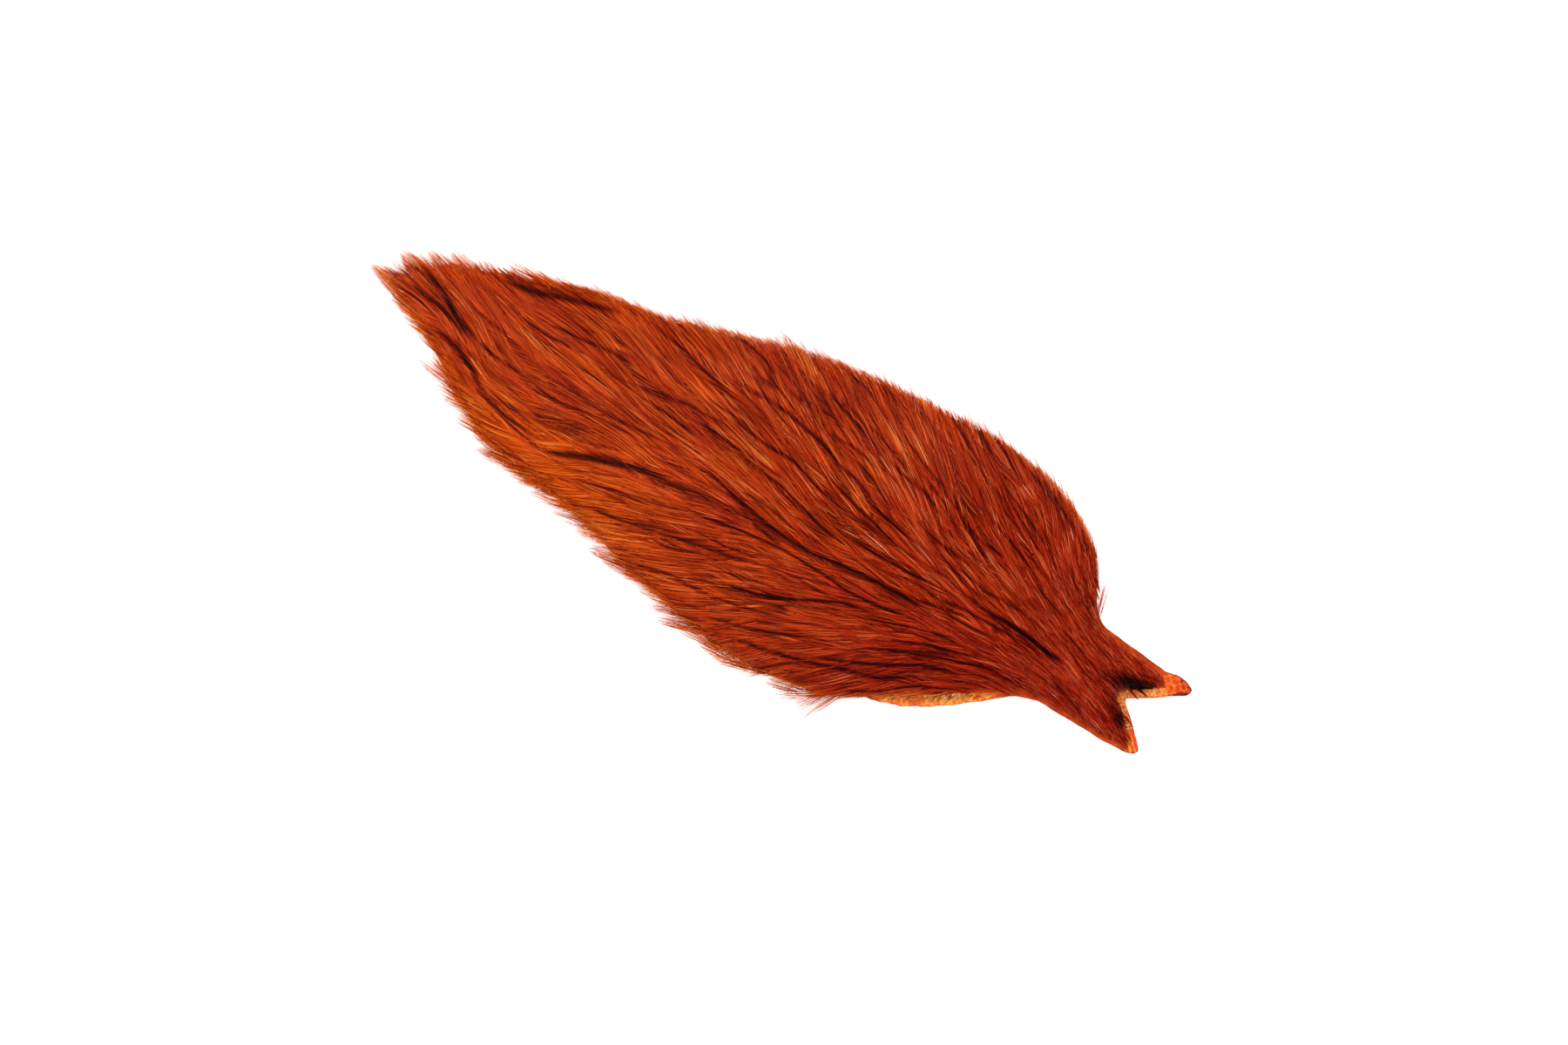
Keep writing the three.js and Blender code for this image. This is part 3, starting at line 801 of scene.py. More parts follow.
def pad_dye(corners):
    """Dark chart coordinates for the down: fine waves of shade, paler at the edge as painted light through
    the thin rim, and darker in the streaks, partly as painted shade.
    """
    x, y = corners[:, 0], corners[:, 1]
    shade = 0.33 + 0.05 * np.sin(y * 4.1 + np.sin(x / 3)) + 0.03 * np.sin(x * 2.3 + y)
    # Painted light near the coat's edge, and darkening in the streaks that is partly painted shade.
    shade = shade + 0.26 * smooth(5, 1, from_side(x, y)) - 0.3 * streak_at(x, y)
    return np.clip(np.stack([dye_zone(x, y), shade], 1), 0.02, 0.98)


# %% [markdown]
# A few hairs stand out from the coat: tufts at known places, and loose hairs all along the edge. A particle
# system could strew them, but its hairs are lost when the model is exported. So each is one long ribbon that
# starts inside the coat and ends a few millimetres outside it.

# %% Stray hairs
TUFTS = [  # root x and y, half width there, tip x and y, half width there, hairs
    (-105.5, 3.4, 3.2, -122.6, 6.3, 1.3, 120), (-103.6, 9.5, 2.7, -117.2, 13, 1.4, 100),
    (-99.1, 13.1, 2.3, -110.4, 16.8, 1.5, 80), (-95.6, 16.2, 2.3, -104.6, 19, 1.6, 60),
    (-101.4, 0.4, 2.3, -113.1, 1.2, 1.6, 70), (-87.6, -11.6, 1.8, -100.6, -9.6, 1.2, 34),
    (-82.4, -14, 1.8, -92.8, -14, 1.4, 30), (-80.4, -15.5, 1.4, -89.9, -16.4, 1.1, 24),
    (-74.8, -19, 1.4, -85.2, -19, 1.2, 34), (-69, -20.3, 1.1, -78.2, -21.2, 1.2, 19),
    (-63.9, -22.7, 1.6, -75.6, -24.2, 1.2, 57), (-51.9, -23.6, 0.9, -65.1, -26.7, 0.9, 30),
    (-45.5, -26.2, 0.9, -58.4, -28.3, 0.9, 19), (-40.5, -27.4, 0.7, -53.2, -30, 0.7, 11),
    (-37.8, -28.6, 0.7, -48.3, -30, 0.7, 11), (-33.5, -29.4, 1.1, -43.8, -31.7, 0.9, 23),
    (-26.9, -32.4, 1.1, -38.3, -34, 0.9, 34), (-18.8, -33.2, 1.4, -33.5, -34.5, 1.2, 57),
    (-11.8, -35.5, 1.4, -21.5, -36.4, 2.4, 34), (-6.4, -37.3, 1.1, -17.6, -39.5, 1.5, 30),
    (-1.8, -39, 1.1, -14.8, -41.9, 0.9, 49), (3.1, -41, 0.9, -7.8, -41.1, 1.2, 23),
    (7.4, -41.8, 1.1, -0.9, -42.1, 1.2, 27), (11.5, -42.3, 1.1, 2.8, -43.7, 1.2, 27),
    (16.7, -41.1, 0.9, 7.9, -42.8, 0.9, 19), (26.5, -41.6, 0.9, 19.1, -43.2, 0.9, 27),
    (33.2, -39.9, 0.9, 21.1, -47, 0.9, 19), (34.5, -40, 0.9, 28.1, -47.2, 2.4, 15),
    (38.7, -37.1, 0.9, 32.4, -48.5, 0.9, 17), (37, -37.4, 0.7, 32.1, -44.6, 0.7, 10),
    (-8.8, 35.8, 0.9, -22.9, 40, 0.9, 15), (88.7, 14.5, 0.9, 86.7, 22.7, 0.9, 13),
]
HAIR_SEGMENTS = 5
HAIR_WIDTH = 0.125
LOOSE_HAIRS = 1700
FURTHEST_HAIR = 5
FLAP_LIFT = 1.8


def tuft_hairs():
    """Roots and tips of the hairs of all tufts. Each tuft is a fan from its root to its tip, each hair keeps
    its place across, and the outer hairs are shorter."""
    tuft = np.repeat(np.array(TUFTS), [row[-1] for row in TUFTS], axis=0)
    way = tuft[:, 3:5] - tuft[:, :2]
    way = way / np.linalg.norm(way, axis=1, keepdims=True)
    sideways = np.stack([-way[:, 1], way[:, 0]], 1)
    place = random.uniform(-1, 1, (len(tuft), 1))
    root = tuft[:, :2] + sideways * place * tuft[:, 2:3] - way * random.uniform(0, 4, (len(tuft), 1))
    tip = tuft[:, 3:5] + sideways * place * tuft[:, 5:6] + random.normal(0, 0.25, (len(tuft), 2))
    share = 1 - 0.22 * place ** 2 - random.exponential(0.17, (len(tuft), 1))
    return root, root + (tip - root) * np.clip(share, 0.45, 1)


def loose_hairs():
    """Roots and tips of loose hairs along the edge, two by two, which follow the way the feathers lie there.
    They reach furthest round the tail and on the lower fringe."""
    left, right = np.array(LEFT_EDGE[::-1][3:], float), np.array(RIGHT_EDGE[1:-3], float)
    edge = np.concatenate([left, right])
    total = walked(edge)[-1]
    clump = random.uniform(0, total, LOOSE_HAIRS // 2)
    x, y = places_on(edge, np.clip(np.repeat(clump, 2) + random.normal(0, 0.5, len(clump) * 2), 0, total))
    fringe = smooth(-60, -100, x) + smooth(0, -10, y) * smooth(40, 15, x)
    fringe = fringe + 0.5 * smooth(0, 10, y) * smooth(10, -20, x)
    reach = np.repeat(random.gamma(1.6, 0.8, len(clump)), 2) * mix(0.8, 1.8, np.clip(fringe, 0, 1))
    angle = lie(x, y) + np.where(y > 0, 0.16, -0.12) * smooth(-100, -60, x) + random.normal(0, 0.09, len(x))
    way = np.stack([-np.cos(angle), np.sin(angle)], 1)
    edge_point = np.stack([x, y], 1)
    reach = reach * smooth(88, 80, x) * np.where(y < 0, mix(0.6, 1, smooth(49, 44, x)), 1)
    reach = reach * mix(0.2, 1, smooth(-119, -106, x))
    root = edge_point - way * random.uniform(5, 8, (len(x), 1))
    free = (beyond_edge(*root.T) < -0.5) & (reach > 0.1)
    return root[free], (edge_point + way * np.clip(reach, 0, FURTHEST_HAIR)[:, None])[free]


def hair_lines():
    """Centre lines and heights of all stray hairs: straight in plan but for a slight bow, sin(pi u), and down
    from the coat to the table. Over the bare flap they end on the skin."""
    pairs = [tuft_hairs(), loose_hairs()]
    root, tip = np.concatenate([p[0] for p in pairs]), np.concatenate([p[1] for p in pairs])
    u = np.linspace(0, 1, HAIR_SEGMENTS + 1)
    line = root[:, None] + (tip - root)[:, None] * u[:, None]
    way = tip - root
    bow = (random.normal(0, 0.03, len(root))[:, None] * np.sin(np.pi * u))[..., None]
    line = line + bow * np.stack([-way[:, 1], way[:, 0]], 1)[:, None]
    start = np.minimum(coat_height(root[:, 0], root[:, 1]), coat_height(tip[:, 0], tip[:, 1]) + 3) * 0.9
    end = np.minimum(start * random.uniform(0.3, 0.8, len(root)), random.uniform(0.3, 2.2, len(root)))
    end = np.maximum(end, FLAP_LIFT * ((tip[:, 0] > 44) & (tip[:, 1] < -12)))
    return line, mix(start[:, None], end[:, None], u ** 0.8), u


# %% [markdown]
# On the fork the hackles are as short and fine as hair. They need no vanes: each is one ribbon that follows
# the lie of the feathers from the skin to the top of the coat.

# %% Fine hackles of the fork
FORK_HAIRS = 3600


def fork_lines():
    """Centre lines and heights of the fine hackles: paths of random length back from random places on the
    fork, which rise from the skin to the coat's top in the first half of their length."""
    places = random.uniform((79, -16.5), (115, 26), (8 * FORK_HAIRS, 2))
    places = places[beyond_edge(*places.T) < -0.1][:FORK_HAIRS]
    x, y = places.T
    reach = along(BARB_LENGTH, x) * random.uniform(0.5, 0.95, len(x))
    plan = trace(x, y, -reach / HAIR_SEGMENTS, HAIR_SEGMENTS, random.normal(0, 0.09, len(x)))
    kept = trim_share(places, plan[:, -1], np.zeros((6, len(x))))
    plan = places[:, None] + (plan - places[:, None]) * kept[:, None, None]
    u = np.linspace(0, 1, HAIR_SEGMENTS + 1)
    top = coat_height(plan[..., 0], plan[..., 1]) + random.normal(0, 0.12, (len(x), 1))
    return plan, mix(SKIN_THICKNESS + 0.15, top, smooth(0, 0.5, u)), u


fork_plan, fork_height, fork_u = fork_lines()
print(len(fork_plan), "fine hackles on the fork")
stray_plan, stray_height, stray_u = hair_lines()
print(len(stray_plan), "stray hairs")

# %% [markdown]
# The frame has a solid for each row of hackles, from the mantle at the back to the two arms of the fork. Each
# feather, hair and pad of down goes to a row by its place, and each row becomes one piece that stands for its
# solid. One mesh with hundreds of feathers is much lighter for Blender than hundreds of objects.

# %% Names of the rows, and the row of each feather
ROWS = ["mantle_hackles", "shoulder_hackles", "lower_neck_hackles", "middle_neck_hackles",
        "upper_neck_hackles", "nape_hackles", "crown_hackles", "right_arm_hackles", "left_arm_hackles"]
CROWN, RIGHT_ARM, LEFT_ARM = 6, 7, 8
ARMS_FROM = ROW_ENDS[CROWN]
NOTCH_RISE, NOTCH_DROP = 0.57, 1.09
row_of = np.searchsorted(ROW_ENDS, tip_x)
row_of = np.where((row_of == RIGHT_ARM) & (tip_y > NOTCH[1]), LEFT_ARM, row_of)
fork_row = np.where(fork_plan[:, 0, 1] > NOTCH[1], LEFT_ARM, RIGHT_ARM)
stray_row = np.minimum(np.searchsorted(ROW_ENDS, stray_plan[:, 0, 0]), CROWN)
print("feathers in each row:", np.bincount(row_of).tolist())

# %% Rows of hackles


def right_side(x):
    """The coat's right edge as a function of x."""
    return along(RIGHT_EDGE, x)


def left_side(x):
    """The coat's left edge as a function of x."""
    return along(LEFT_EDGE, x)


def notch_left(x):
    """Inner edge of the left arm's down: the middle of the neck, then the left side of the notch."""
    return NOTCH[1] + NOTCH_RISE * np.maximum(x - NOTCH[0], 0) + 2.4 * smooth(100, 103, x)


def notch_right(x):
    """Inner edge of the right arm's down: the middle of the neck, then the right side of the notch."""
    return NOTCH[1] - NOTCH_DROP * np.maximum(x - NOTCH[0], 0) - 2.2 * smooth(100, 103, x)


def down_of(number):
    """The pad of down under one row of hackles."""
    if number == LEFT_ARM:
        return down_pad(ARMS_FROM, 110.5, lambda x: notch_left(x) - 1.5, left_side, HIGH_INSET)
    if number == RIGHT_ARM:
        return down_pad(ARMS_FROM, 108, right_side, lambda x: notch_right(x) + 1.5, HIGH_INSET)
    return down_pad(PAD_ENDS[number], PAD_ENDS[number + 1], right_side, left_side)


def stray_ribbons(mine):
    """Ribbons and dye of some stray hairs, darker than the coat at first and paler at the tip, which is
    partly the hair's own colour and partly painted light shining through the thin end.
    """
    plan, height = stray_plan[mine], stray_height[mine]
    width = HAIR_WIDTH * (1 - 0.6 * stray_u ** 1.5) * random.uniform(0.8, 1.2, (len(mine), 1))
    zone = dye_zone(plan[..., 0], plan[..., 1]) + 0.3 * stray_u + random.normal(0, 0.1, (len(mine), 1))
    # Paler, more orange tips: partly own colour, partly painted light through the thin ends.
    shade = mix(0.4, 0.58, stray_u) + random.normal(0, 0.15, (len(mine), 1))
    return (*ribbons(plan, height, width, random.normal(0, 0.3, len(mine))), ribbon_dye(zone, shade))


def fork_ribbons(mine):
    """Ribbons and dye of some fine hackles of the fork, thin at the root as well as at the tip."""
    plan, height = fork_plan[mine], fork_height[mine]
    grow = smooth(-0.15, 0.25, fork_u) * (1 - 0.7 * fork_u ** 2.5)
    width = along(BARB_WIDTH, plan[:, 0, 0])[:, None] * grow * random.uniform(0.8, 1.2, (len(mine), 1))
    feather, number = random.integers(0, feathers, len(mine)), random.integers(0, 400, len(mine))
    noise = packet_noise[:, random.integers(0, PACKETS, len(mine))]
    dye = ribbon_dye(*dye_of(plan, fork_u, number, np.ones(len(mine)), feather, noise))
    return (*ribbons(plan, height, width, random.normal(0, 0.3, len(mine))), dye)


def make_row(number):
    """One row of hackles as a single mesh: every barb, the down under them and the row's hairs."""
    which = np.flatnonzero(row_of == number)
    feather, side, order, total, vane = barbs_of(which)
    plan, height, u, noise, kept = barb_lines(feather, side, order, total, vane)
    plan, height, noise = plan[kept], height[kept], noise[:, kept]
    feather, side, order = feather[kept], side[kept], order[kept]
    tilt = random.normal(0, math.radians(18), len(order))
    width = along(BARB_WIDTH, plan[:, 0, 0])[:, None] * (1 - 0.72 * u ** 2.5)
    width = width * random.uniform(0.75, 1.2, (len(order), 1))
    width = width * mix(1, 1.3, smooth(6, 1.5, from_side(plan[..., 0], plan[..., 1])))
    parts = [(*ribbons(plan, height, width, tilt), ribbon_dye(*dye_of(plan, u, order, side, feather, noise)))]
    corners, faces = down_of(number)
    parts.append((corners, faces, pad_dye(corners)))
    mine = np.flatnonzero(stray_row == number)
    if len(mine):
        parts.append(stray_ribbons(mine))
    if number in (RIGHT_ARM, LEFT_ARM):
        parts.append(fork_ribbons(np.flatnonzero(fork_row == number)))
    corners, faces, dye = join(parts)
    piece = mesh_piece(ROWS[number] + "_barbs", corners, faces, ROWS[number])
    chart = piece.data.uv_layers.new(name="OFBake")
    chart.uv.foreach_set("vector", dye.astype(np.float32)[faces.ravel()].ravel())
    print(ROWS[number], len(which), "feathers", len(order), "barbs", len(faces), "triangles")
    return piece


rows = [make_row(number) for number in range(len(ROWS))]
print("triangles of all rows:", sum(len(row.data.polygons) for row in rows))

# %% [markdown]
# Dyed barbs have a soft sheen and a colour that is deep inside the coat and paler where light passes through
# the ends. Three colour ramps hold the dye chart: crimson, rust and orange, each from dark to pale. The
# material blends them by the zone and reads the shade along them. Ramps are easy to tune one stop at a time,
# and they smooth the way between two dyes.

# %% Dyed hackle material


def ramp_node(tree, stops, socket):
    """A colour ramp over a socket's value, with stops as (value, sRGB colour)."""
    node = tree.nodes.new("ShaderNodeValToRGB")
    ramp = node.color_ramp
    ramp.interpolation = "EASE"
    while len(ramp.elements) < len(stops):
        ramp.elements.new(0.5)
    for element, (place, colour) in zip(ramp.elements, stops):
        element.position = place
        element.color = (*[(c / 255) ** 2.2 for c in colour], 1)
    tree.links.new(socket, node.inputs["Fac"])
    return node.outputs["Color"]


CRIMSON = [(0.0, (24, 6, 3)), (0.3, (86, 12, 4)), (0.55, (164, 33, 15)), (0.75, (188, 74, 50)),
           (1.0, (208, 134, 114))]
RUST = [(0.0, (34, 10, 2)), (0.3, (105, 23, 3)), (0.55, (184, 55, 14)), (0.75, (204, 96, 48)),
        (1.0, (224, 154, 120))]
ORANGE = [(0.0, (46, 17, 2)), (0.3, (138, 41, 3)), (0.55, (214, 81, 14)), (0.75, (224, 132, 50)),
          (1.0, (242, 190, 130))]


def hackle_material():
    """Dyed barbs: three ramps over the shade, blended by the zone, on a surface with a faint sheen."""
    material = bpy.data.materials.new("dyed_hackle")
    material.use_nodes = True
    tree = material.node_tree
    shader = tree.nodes["Principled BSDF"]
    chart = tree.nodes.new("ShaderNodeUVMap")
    chart.uv_map = "OFBake"
    split = tree.nodes.new("ShaderNodeSeparateXYZ")
    tree.links.new(chart.outputs["UV"], split.inputs["Vector"])
    zone, shade = split.outputs["X"], split.outputs["Y"]
    colours = [ramp_node(tree, stops, shade) for stops in (CRIMSON, RUST, ORANGE)]
    before = colours[0]
    for colour, start in ((colours[1], 0.0), (colours[2], 0.5)):
        turn = tree.nodes.new("ShaderNodeMapRange")
        turn.inputs["From Min"].default_value = start
        turn.inputs["From Max"].default_value = start + 0.5
        tree.links.new(zone, turn.inputs["Value"])
        blend = tree.nodes.new("ShaderNodeMix")
        blend.data_type = "RGBA"
        tree.links.new(turn.outputs["Result"], blend.inputs["Factor"])
        tree.links.new(before, blend.inputs["A"])
        tree.links.new(colour, blend.inputs["B"])
        before = blend.outputs["Result"]
    tree.links.new(before, shader.inputs["Base Color"])
    shader.inputs["Roughness"].default_value = 0.4
    shader.inputs["Specular IOR Level"].default_value = 0.04
    return material


hackle = hackle_material()
for piece in rows:
    piece.data.materials.append(hackle)

# %% [markdown]
# The skin is dried hard, like thin horn. Bare skin shows in a flap at the right edge, at the fork's ends and
# round the notch, where short golden quills stand. A subdivided plane would have its corners everywhere
# alike. A net of triangles between free points can be fine on bare skin and coarse under the coat.

# %% Skin outline and net
EDGE_STEP = 0.5
EDGE_ROUND = 3  # steps to each side
BARE_NET, FINE_NET, COARSE_NET = 0.3, 0.62, 4.0
FINE_BAND = 7.0
NET_X, NET_Y = (-74, 122), (-42, 44)


def skin_edge():
    """Closed outline in steps of EDGE_STEP, rounded by a short average, with a slightly ragged cut."""
    corners = np.array(SKIN_OUTLINE + SKIN_OUTLINE[:1], float)
    total = walked(corners)[-1]
    at = np.arange(0, total - EDGE_STEP / 2, EDGE_STEP)
    edge = np.stack(places_on(corners, at), 1)
    near = range(-EDGE_ROUND, EDGE_ROUND + 1)
    rounded = sum(np.roll(edge, k, axis=0) for k in near) / len(near)
    fork = smooth(96, 103, edge[:, :1])
    edge = mix(rounded, edge, 0.6 * fork)
    run = np.roll(edge, -1, axis=0) - np.roll(edge, 1, axis=0)
    out = np.stack([-run[:, 1], run[:, 0]], 1) / np.linalg.norm(run, axis=1, keepdims=True)
    turns = 2 * np.pi * at / total
    ragged = 0.22 * np.sin(turns * 31 + 1) + 0.14 * np.sin(turns * 67 + 2) + 0.08 * np.sin(turns * 171)
    return edge + out * (ragged * mix(1, 0.3, smooth(55, 75, edge[:, 0])))[:, None]


def edge_gap(points):
    """Distance in plan from each point to the skin's outline."""
    away = np.full(len(points), np.inf)
    for part in np.array_split(edge, 12):
        away = np.minimum(away, np.linalg.norm(points[:, None] - part[None], axis=2).min(axis=1))
    return away


def is_bare(points):
    """True on the skin that no feather covers: the flap at the right edge and the ends of the fork."""
    x, y = points.T
    bare = (x > 45) & (x < 80) & (y < 0) | (x > 102)
    bare[bare] = beyond_edge(x[bare], y[bare]) > -0.6
    return bare


def net_points():
    """Points inside the outline: a very fine net on bare skin, a fine one near the edge and a coarse one
    further in, all slightly shaken."""
    points = []
    nets = [(BARE_NET, 0.2, np.inf, True), (FINE_NET, 0.35, FINE_BAND, False)]
    nets.append((COARSE_NET, FINE_BAND + 1, np.inf, False))
    for pitch, near, far, bare in nets:
        x, y = np.meshgrid(np.arange(*NET_X, pitch), np.arange(*NET_Y, pitch))
        cloud = np.stack([x.ravel(), y.ravel()], 1) + random.uniform(-0.2, 0.2, (x.size, 2)) * pitch
        cloud = cloud[bare == is_bare(cloud)]
        cloud = cloud[inside_edge(cloud, edge)]
        away = edge_gap(cloud)
        points.append(cloud[(away > near) & (away < far)])
    return np.concatenate(points)


edge = skin_edge()
net = np.concatenate([edge, net_points()])
loop = [(i, (i + 1) % len(edge)) for i in range(len(edge))]
made = delaunay_2d_cdt([Vector(p) for p in net], loop, [], 1, 1e-6)
skin_plan = np.array([tuple(v) for v in made[0]])
skin_faces = np.array(made[2])
a, b, c = skin_plan[skin_faces].transpose(1, 0, 2)
turned = np.cross(b - a, c - a) < 0
skin_faces = np.where(turned[:, None], skin_faces[:, ::-1], skin_faces)
print("skin net", len(skin_plan), "points", len(skin_faces), "triangles")

# %% [markdown]
# Dried skin shrinks unevenly: its rim curls up and thins, and its face is full of small wrinkles and pebbles.
# A bump texture would only paint them, so they are in the height of the net's corners. A tone from 0 to 1 is
# stored at each corner as well, and the material turns it into a colour.

# %% Skin sheet
BARE_FROM = (111.2, 6.8)
RIM_THICKNESS, INNER_THICKNESS = 0.5, 1.15


def ripple(x, y, size):
    """Smooth, uneven waves of about a given size in millimetres, between -1 and 1: the average of two sine
    waves in different directions, each bent by another sine."""
    a, b = x / size, y / size
    one = np.sin(2.1 * a + 1.3 * b + 1.7 * np.sin(0.9 * b))
    other = np.sin(-1.2 * a + 2.4 * b + 1.5 * np.sin(1.1 * a))
    return (one + other) / 2


def skin_top(x, y, gap):
    """Height of the skin's upper face: lower at the rim, which is curled up in places as exp(-d / 1.3), with
    small wrinkles and pebbles."""
    body = 0.75 + 0.4 * smooth(0, 2.5, gap) + 0.12 * ripple(x, y, 2.2) + 0.06 * ripple(y, x, 0.8)
    body = body + 0.08 * ripple(x, y, 0.5) * ripple(y, x, 0.36)
    curl = np.exp(-gap / 1.3) * (0.55 + 0.55 * ripple(x, y, 9))
    return body + curl


def skin_tone(x, y, gap):
    """Tone of the skin: 0 dark brown, 0.5 orange-red, 0.7 amber, 0.9 gold. Orange on the rim, amber on the
    flap, gold along the notch and mottled orange-red on the bare end of the left arm."""
    tone = 0.34 + 0.18 * np.exp(-gap / 2) + 0.03 * ripple(x, y, 1.5)
    flap = smooth(45.5, 49, x) * smooth(80, 72, x) * smooth(-13, -16, y)
    pale = 0.14 * np.exp(-((x - 65.5) / 4) ** 2)
    tone = mix(tone, 0.7 + pale + 0.1 * ripple(x, y, 1.7) + 0.12 * ripple(y, x, 0.6), flap)
    left, right = line_gap(x, y, NOTCH_LEFT), line_gap(x, y, NOTCH_RIGHT)
    pebbles = ripple(x, y, 0.5) * 0.12 + ripple(y, x, 0.3) * 0.1
    tone = mix(tone, 0.74 + pebbles, smooth(2.6, 2, left) * smooth(101, 103, x))
    tone = mix(tone, mix(0.78, 0.52, smooth(106.5, 109, x)) + pebbles, smooth(2, 1.5, right) * (right < left))
    beyond = (x - BARE_FROM[0]) * 0.79 + (y - BARE_FROM[1]) * 0.61
    mottled = 0.56 - 0.1 * smooth(1, 4, beyond) + 0.14 * ripple(x, y, 0.8) + pebbles
    tone = mix(tone, mottled, smooth(-0.6, 0.4, beyond))
    tip = smooth(110.5, 112, x) * (y < -8)
    tone = mix(tone, 0.6 + 0.25 * np.sin(5.5 * (0.74 * x + 0.67 * y) + ripple(x, y, 1)), tip)
    tone = tone - 0.3 * smooth(1.2, 0.3, left) * smooth(115, 116.5, x)
    dark_rim = smooth(0.45, 0.0, gap) * mix(0.5, 1.0, smooth(100, 106, x))
    return np.clip(tone - 0.4 * dark_rim, 0.02, 0.98)


def skin_sheet():
    """Upper and lower face of the skin with a wall between them, and the tone of each corner."""
    x, y = skin_plan.T
    gap = edge_gap(skin_plan)
    top = skin_top(x, y, gap)
    bottom = np.maximum(top - mix(RIM_THICKNESS, INNER_THICKNESS, smooth(0.5, 4, gap)), 0)
    corners = np.concatenate([np.column_stack([x, y, top]), np.column_stack([x, y, bottom])])
    count = len(x)
    sides = np.concatenate([skin_faces[:, [0, 1]], skin_faces[:, [1, 2]], skin_faces[:, [2, 0]]])
    key = np.sort(sides, axis=1) @ [count, 1]
    _, first, times = np.unique(key, return_index=True, return_counts=True)
    a, b = sides[first[times == 1]].T
    faces = np.concatenate([skin_faces, skin_faces[:, ::-1] + count, wall(a, b, count)])
    tone = skin_tone(x, y, gap)
    under = np.clip(0.62 + 0.08 * ripple(x, y, 3) + 0.05 * ripple(y, x, 0.9), 0, 1)
    return corners, faces, np.concatenate([tone, under])


# %% [markdown]
# Where the skin was cut, short golden quills stand round the notch, and thin hairs cross the bare flap. They
# are ribbons once more, and they stand on the skin's own height, so that none of them floats.

# %% Quills and stubs on the bare skin
QUILLS, STUBS = 260, 96
QUILL_WIDTH, STUB_WIDTH = 0.2, 0.13
FLAP_EDGE = [(40.2, -36.5), (58.4, -30.8), (72, -22), (78.8, -16.5)]


def quill_lines():
    """Short golden quills beside the notch. They lean inwards from its sides, towards the coat."""
    share = random.uniform(-1, 1, QUILLS)
    ahead = np.abs(share) * np.where(share > 0, 8.5, 5.5)
    inward = random.uniform(0.2, 1.9, QUILLS) * np.where(share > 0, 1, 0.7)
    x = NOTCH[0] + ahead - np.where(share > 0, 0.3, 0.7) * inward
    left, right = NOTCH_RISE * ahead + 0.9 * inward, -NOTCH_DROP * ahead - 0.65 * inward
    y = NOTCH[1] + np.where(share > 0, left, right)
    angle = np.where(share > 0, np.radians(60), np.radians(5)) + random.normal(0, 0.3, QUILLS)
    reach = random.uniform(0.4, 1.1, QUILLS)
    return x, y, angle, reach


def flap_stubs():
    """Thin hairs that cross the bare flap, from the coat's edge towards the skin's. Every third one is in the
    flap's middle."""
    x = np.where(np.arange(STUBS) % 3 == 0, random.uniform(60, 72, STUBS), random.uniform(48, 74, STUBS))
    wide = along(RIGHT_EDGE, x) - along(FLAP_EDGE, x)
    y = along(RIGHT_EDGE, x) - wide * random.uniform(-0.2, 0.3, STUBS)
    return x, y, np.radians(random.normal(-72, 12, STUBS)), wide * random.uniform(0.3, 1.1, STUBS)


def stub_ribbons(lines, width, tone, rise):
    """Ribbons that stand on the skin, from the root in their direction, with one tone each."""
    x, y, angle, reach = lines
    u = np.linspace(0, 1, 4)
    way = (reach * np.stack([-np.cos(angle), np.sin(angle)])).T
    plan = np.stack([x, y], 1)[:, None] + way[:, None] * u[:, None]
    gap = edge_gap(plan.reshape(-1, 2)).reshape(plan.shape[:2])
    height = skin_top(plan[..., 0], plan[..., 1], gap) + rise * (0.25 + u)
    width = width * (1 - 0.6 * u) * np.ones((len(x), 1))
    corners, faces = ribbons(plan, height, width, random.normal(0, 0.5, len(x)))
    return corners, faces, np.repeat(np.clip(tone, 0, 1), 2 * len(u) - 1)


def make_skin():
    """The skin as one mesh with its tone as an attribute of the corners."""
    parts = [skin_sheet()]
    parts.append(stub_ribbons(quill_lines(), QUILL_WIDTH, random.normal(0.8, 0.12, QUILLS), 0.4))
    stub_tone = np.where(np.arange(STUBS) % 3 > 0, 0.42, 0.22) + random.normal(0, 0.07, STUBS)
    parts.append(stub_ribbons(flap_stubs(), STUB_WIDTH, stub_tone, 0.3))
    corners, faces, tone = join(parts)
    piece = mesh_piece("skin_sheet", corners, faces, "skin")
    layer = piece.data.attributes.new("tone", "FLOAT", "POINT")
    layer.data.foreach_set("value", tone.astype(np.float32))
    print("skin", len(faces), "triangles")
    return piece


skin = make_skin()

# %% [markdown]
# Dried skin is amber where light passes through it, dark brown where it is cut and burnt orange where the dye
# has settled. One ramp over the stored tone gives all three. A fine noise on Object coordinates breaks up the
# smooth tones between two corners of the net. Its gloss is stronger than that of the feathers.

# %% Dried skin material
SKIN_RAMP = [(0.0, (40, 16, 8)), (0.25, (122, 36, 10)), (0.48, (214, 72, 14)), (0.66, (222, 106, 32)),
             (0.84, (248, 156, 64)), (1.0, (255, 220, 160))]


